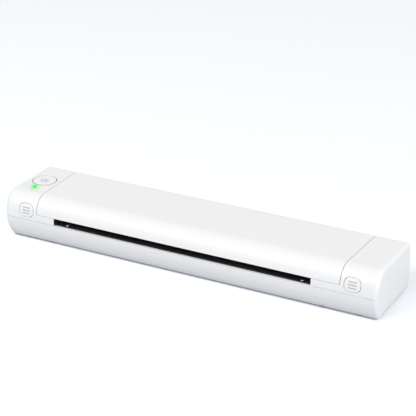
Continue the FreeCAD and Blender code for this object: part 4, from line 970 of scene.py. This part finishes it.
# Painted shade: a grey band round the button's edge and down its side, for the dark gap round the
# button.
painted_gap_shade = cap_white.step(from_middle, 9.1 * mm, 9.4 * mm)
sunk = cap_white.step(cap_white.along(2), cap_high.z - 0.05 * mm, cap_high.z - 0.12 * mm)
in_mark = cap_white.step(from_middle, mark_reach, mark_reach - 0.1 * mm) * sunk
marked = cap_white.blend(in_mark, cap_white.colour, mark_grey)
cap_white.give("Base Color", cap_white.blend(painted_gap_shade, marked, gap_shade_grey))
remade("round_power_button", "power_button", cap_white, edge=0.2 * mm)
release_white = glossy_white("glossy white release button")
button_x = 138 * mm
button_z = 26.45 * mm
bar_pitch = 2.2 * mm
bar_reach = 3.3 * mm
bar_reach_full = 3.15 * mm
bar_half = 0.44 * mm
bar_half_full = 0.36 * mm
print_grey = (0.5, 0.505, 0.52, 1.0)
either_side = {0: release_white.along(0)}
sideways = release_white.node("ShaderNodeMath", {"operation": "ABSOLUTE"}, either_side) - button_x
on_bars = release_white.step(sideways * sideways, bar_reach ** 2, bar_reach_full ** 2)
rows = 0.0
for row in (-1, 0, 1):
    off = release_white.along(2) - (button_z + row * bar_pitch)
    rows = rows + release_white.step(off * off, bar_half ** 2, bar_half_full ** 2)
printed = release_white.blend(on_bars * rows, release_white.colour, print_grey)
release_white.give("Base Color", printed)
remade("left_release_button", "left_push_button", release_white, edge=0.07 * mm)
remade("right_release_button", "right_push_button", release_white, edge=0.07 * mm)

springs = Growth("spring", ["Radius", "Wire", "Height", "Turns"], ["Metal"])
radius = springs.input("Radius")
wire = springs.input("Wire")
height = springs.input("Height")
inner_height = height - 4.0 * wire
turn_steps = 20
wire_sides = 8
bottom_coil = springs.coil(radius, wire, wire, 1.0, wire, turn_steps, wire_sides)
body_coil = springs.coil(
    radius, wire, inner_height, springs.input("Turns"), 2.0 * wire, turn_steps, wire_sides
)
top_coil = springs.coil(radius, wire, wire, 1.0, height - 2.0 * wire, turn_steps, wire_sides)
coils = springs.join(bottom_coil, body_coil, top_coil)
smooth = springs.node("GeometryNodeSetShadeSmooth", {}, {0: coils})
springs.finish_tree(springs.dress(smooth, "Metal"))
spring_steel = surface(
    "spring wire", dark=(0.42, 0.43, 0.45), light=(0.60, 0.61, 0.63),
    patch=1.5 * mm, rough=(0.22, 0.35), grain=0.1 * mm, depth=0.002 * mm, fixed={"Metallic": 1.0},
)
spring_wire = 0.25 * mm


def sprung(name, node, axis, turns):
    """Wound springs in place of a node's plain sleeves, along Y or Z."""
    upright = (0.0, 0.0, 0.0)
    lying = (-math.pi / 2, 0.0, 0.0)
    places = []
    boxes = solids_of(node)
    for low, high in boxes:
        foot = (low + high) / 2
        foot[axis] = low[axis]
        places.append((foot, upright if axis == 2 else lying))
    low, high = boxes[0]
    sizes = {
        "Radius": (high.x - low.x) / 2 - spring_wire,
        "Wire": spring_wire,
        "Height": high[axis] - low[axis],
        "Turns": turns,
    }
    piece = put_for(springs.grow(name, places, sizes, {"Metal": spring_steel}), node)
    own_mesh(piece)
    return piece


for side in ("left", "right"):
    low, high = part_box(side + "_push_spring")
    sprung(
        side + "_return_spring", side + "_push_spring", axis=1, turns=4.0,
    )

remade("left_end_face", "left_end_plate", shell_white, edge=0.1 * mm)
remade("right_end_face", "right_end_plate", shell_white, edge=0.1 * mm)
screwed("case_fixings", "case_screws", upwards=True)


# Lid
# The long glossy moulding between the ends, which turns on two hollow steel pins at the rear.
# A black liner screwed inside it is the feed channel's roof and holds the sprung print head.
remade("lid_shell", "top_cover", shell_white, shell_edge)
remade("lid_pins", "hinge_pins", steel, edge=0.1 * mm)
remade("lid_liner", "cover_liner", deck_black, edge=0.15 * mm)
screwed("lid_fixings", "cover_screws", upwards=True)

aluminium = surface(
    "extruded aluminium", dark=(0.60, 0.61, 0.62), light=(0.74, 0.75, 0.76),
    patch=1.2 * mm, rough=(0.3, 0.42), grain=0.08 * mm, depth=0.004 * mm, fixed={"Metallic": 1.0},
    stretch=(40.0, 1.0, 1.0),
)
remade("finned_sink", "heat_sink", aluminium, edge=0.1 * mm)

heater_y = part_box("print_head_strip")[0].y + 4.4 * mm
glaze_half = 0.75 * mm
glaze_half_full = 0.6 * mm
tracks_from = heater_y + 0.9 * mm
tracks_to = heater_y + 4.6 * mm
track_blur = 0.1 * mm
track_pitch = 0.5 * mm
track_height = 0.015 * mm
track_gold = (0.62, 0.45, 0.18, 1.0)
glaze_brown = (0.12, 0.07, 0.045, 1.0)
ceramic = surface(
    "fired ceramic", dark=(0.70, 0.68, 0.62), light=(0.78, 0.76, 0.70),
    patch=6 * mm, rough=(0.3, 0.42), grain=0.15 * mm, depth=0.004 * mm,
)
off_line = ceramic.along(1) - heater_y
glaze = ceramic.step(off_line * off_line, glaze_half ** 2, glaze_half_full ** 2)
tracks_on = ceramic.step(ceramic.along(1), tracks_from, tracks_from + track_blur)
tracks_off = ceramic.step(ceramic.along(1), tracks_to, tracks_to - track_blur)
inputs = {"Vector": ceramic.place, "Scale": wave_scale(track_pitch)}
comb = ceramic.node("ShaderNodeTexWave", {"bands_direction": "X"}, inputs, "Fac")
tracks = ceramic.step(comb, 0.4, 0.6) * tracks_on * tracks_off
tracked = ceramic.blend(tracks, ceramic.colour, track_gold)
ceramic.give("Base Color", ceramic.blend(glaze, tracked, glaze_brown))
ceramic.give("Roughness", 0.38 - 0.26 * glaze)
ceramic.raise_by(tracks, track_height)
remade("heater_strip", "print_head_strip", ceramic, edge=0.12 * mm)

for name, node, finish, edge in (
    ("head_pins", "head_pivot_pins", steel, 0.2),
    ("head_socket", "head_connector", nylon, 0.2),
    ("head_wire_in_lid", "head_cable_in_lid", black_sleeve, 0.1),
    ("head_wire_in_base", "head_cable_in_base", black_sleeve, 0.1),
):
    remade(name, node, finish, edge=edge * mm)

low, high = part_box("head_springs")
sprung(
    "head_pressure_springs", "head_springs", axis=2, turns=6.0,
)


# Floor, light and camera
# A plain pale floor in soft daylight. One square lamp stands high in front, on the left, and a
# cooler one low on the right.
floor_half = 4.0
floor_shine = 0.4
shade_half_x = 154 * mm
shade_half_y = 25 * mm
shade_edge = 2.0 * mm
corners = [(x * floor_half, y * floor_half, 0) for x, y in ((-1, -1), (1, -1), (1, 1), (-1, 1))]
mesh = bpy.data.meshes.new("floor")
mesh.from_pydata(corners, [], [(0, 1, 2, 3)])
pale = surface(
    "pale floor", dark=(0.62, 0.64, 0.68), light=(0.64, 0.66, 0.70),
    patch=0.4, rough=(0.85, 0.95), grain=0.01, depth=0.0, fixed={"Specular IOR Level": 0.0},
)
# The floor shines a little to the camera alone, for an even white. Under the case and for 2 mm round it
# the shine is left out, a painted contact shadow that stays dark.
to_camera = pale.node("ShaderNodeLightPath", {}, {}, "Is Camera Ray")
pure_white = (1.0, 1.0, 1.0, 1.0)
shine = pale.node("ShaderNodeEmission", {}, {"Color": pure_white, "Strength": floor_shine})
plain = Amount(pale, pale.skin.outputs[0])
both = pale.node("ShaderNodeAddShader", {}, {0: plain, 1: shine})
squared = 0.0
for axis, half in ((0, shade_half_x), (1, shade_half_y)):
    reach = pale.node("ShaderNodeMath", {"operation": "ABSOLUTE"}, {0: pale.along(axis)}) - half
    past = pale.maths("MAXIMUM", reach, 0.0)
    squared = squared + past * past
beyond_painted_shadow = pale.step(squared ** 0.5, 0.0, shade_edge)
mixed = pale.node("ShaderNodeMixShader", {}, {0: to_camera * beyond_painted_shadow, 1: plain, 2: both})
pale.tree.links.new(mixed.socket, pale.tree.nodes["Material Output"].inputs["Surface"])
floor = made("floor", mesh, pale)
floor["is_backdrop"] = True


class Sky(Works):
    """The nodes of the world's light."""

    def __init__(self, name):
        self.world = bpy.data.worlds.new(name)
        self.world.use_nodes = True
        self.tree = self.world.node_tree


sky = Sky("studio")
bpy.context.scene.world = sky.world
daylight = (1.0, 0.995, 0.985, 1.0)
soft = sky.node("ShaderNodeBackground", {}, {"Color": daylight, "Strength": 0.61})
white = sky.node("ShaderNodeBackground", {}, {"Color": pure_white, "Strength": 1.0})
seen = 0.0
for ray in ("Is Camera Ray", "Is Glossy Ray", "Is Transmission Ray"):
    seen = sky.maths("MAXIMUM", seen, sky.node("ShaderNodeLightPath", {}, {}, ray))
mixed = sky.node("ShaderNodeMixShader", {}, {0: seen, 1: soft, 2: white})
sky.tree.links.new(mixed.socket, sky.tree.nodes["World Output"].inputs["Surface"])


lamp_aim = Vector((0.0, 0.0, 0.02))


def lamp(name, place, size, power, colour):
    """A square lamp that shines at the middle of the case."""
    data = bpy.data.lights.new(name, "AREA")
    data.shape = "SQUARE"
    data.size = size
    data.energy = power
    data.color = colour
    light = bpy.data.objects.new(name, data)
    bpy.context.scene.collection.objects.link(light)
    light.location = place
    light.rotation_mode = "QUATERNION"
    light.rotation_quaternion = (lamp_aim - Vector(place)).to_track_quat("-Z", "Y")


lamp("key", place=(-0.475, -1.19, 1.29), size=0.7, power=14.5, colour=(1.0, 1.0, 1.0))
lamp("fill", place=(1.65, -0.25, 0.45), size=0.9, power=12.2, colour=(0.93, 0.97, 1.0))

camera_data = bpy.data.cameras.new("camera")
camera = bpy.data.objects.new("camera", camera_data)
bpy.context.scene.collection.objects.link(camera)
bpy.context.scene.camera = camera
camera_data.lens = 128.5
camera_data.sensor_width = 36.0
camera_data.shift_x = 0.0183
camera_data.clip_start = 0.05
camera_data.clip_end = 50.0
camera_aim = Vector((0.0, 0.0, 0.019))
camera_distance = 1.1296
camera_bearing = math.radians(28.574)
camera_height = math.radians(25.387)
camera_roll = math.radians(-0.397)
camera_lift = math.radians(1.189)
camera_turn = Matrix.Rotation(camera_bearing, 3, "Z")
camera_turn = camera_turn @ Matrix.Rotation(math.pi / 2 - camera_height, 3, "X")
camera.location = camera_aim + camera_turn @ Vector((0.0, 0.0, camera_distance))
camera_turn = camera_turn @ Matrix.Rotation(camera_roll, 3, "Z") @ Matrix.Rotation(camera_lift, 3, "X")
camera.rotation_mode = "QUATERNION"
camera.rotation_quaternion = camera_turn.to_quaternion()

bpy.context.scene.view_settings.view_transform = "Standard"

low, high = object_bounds()
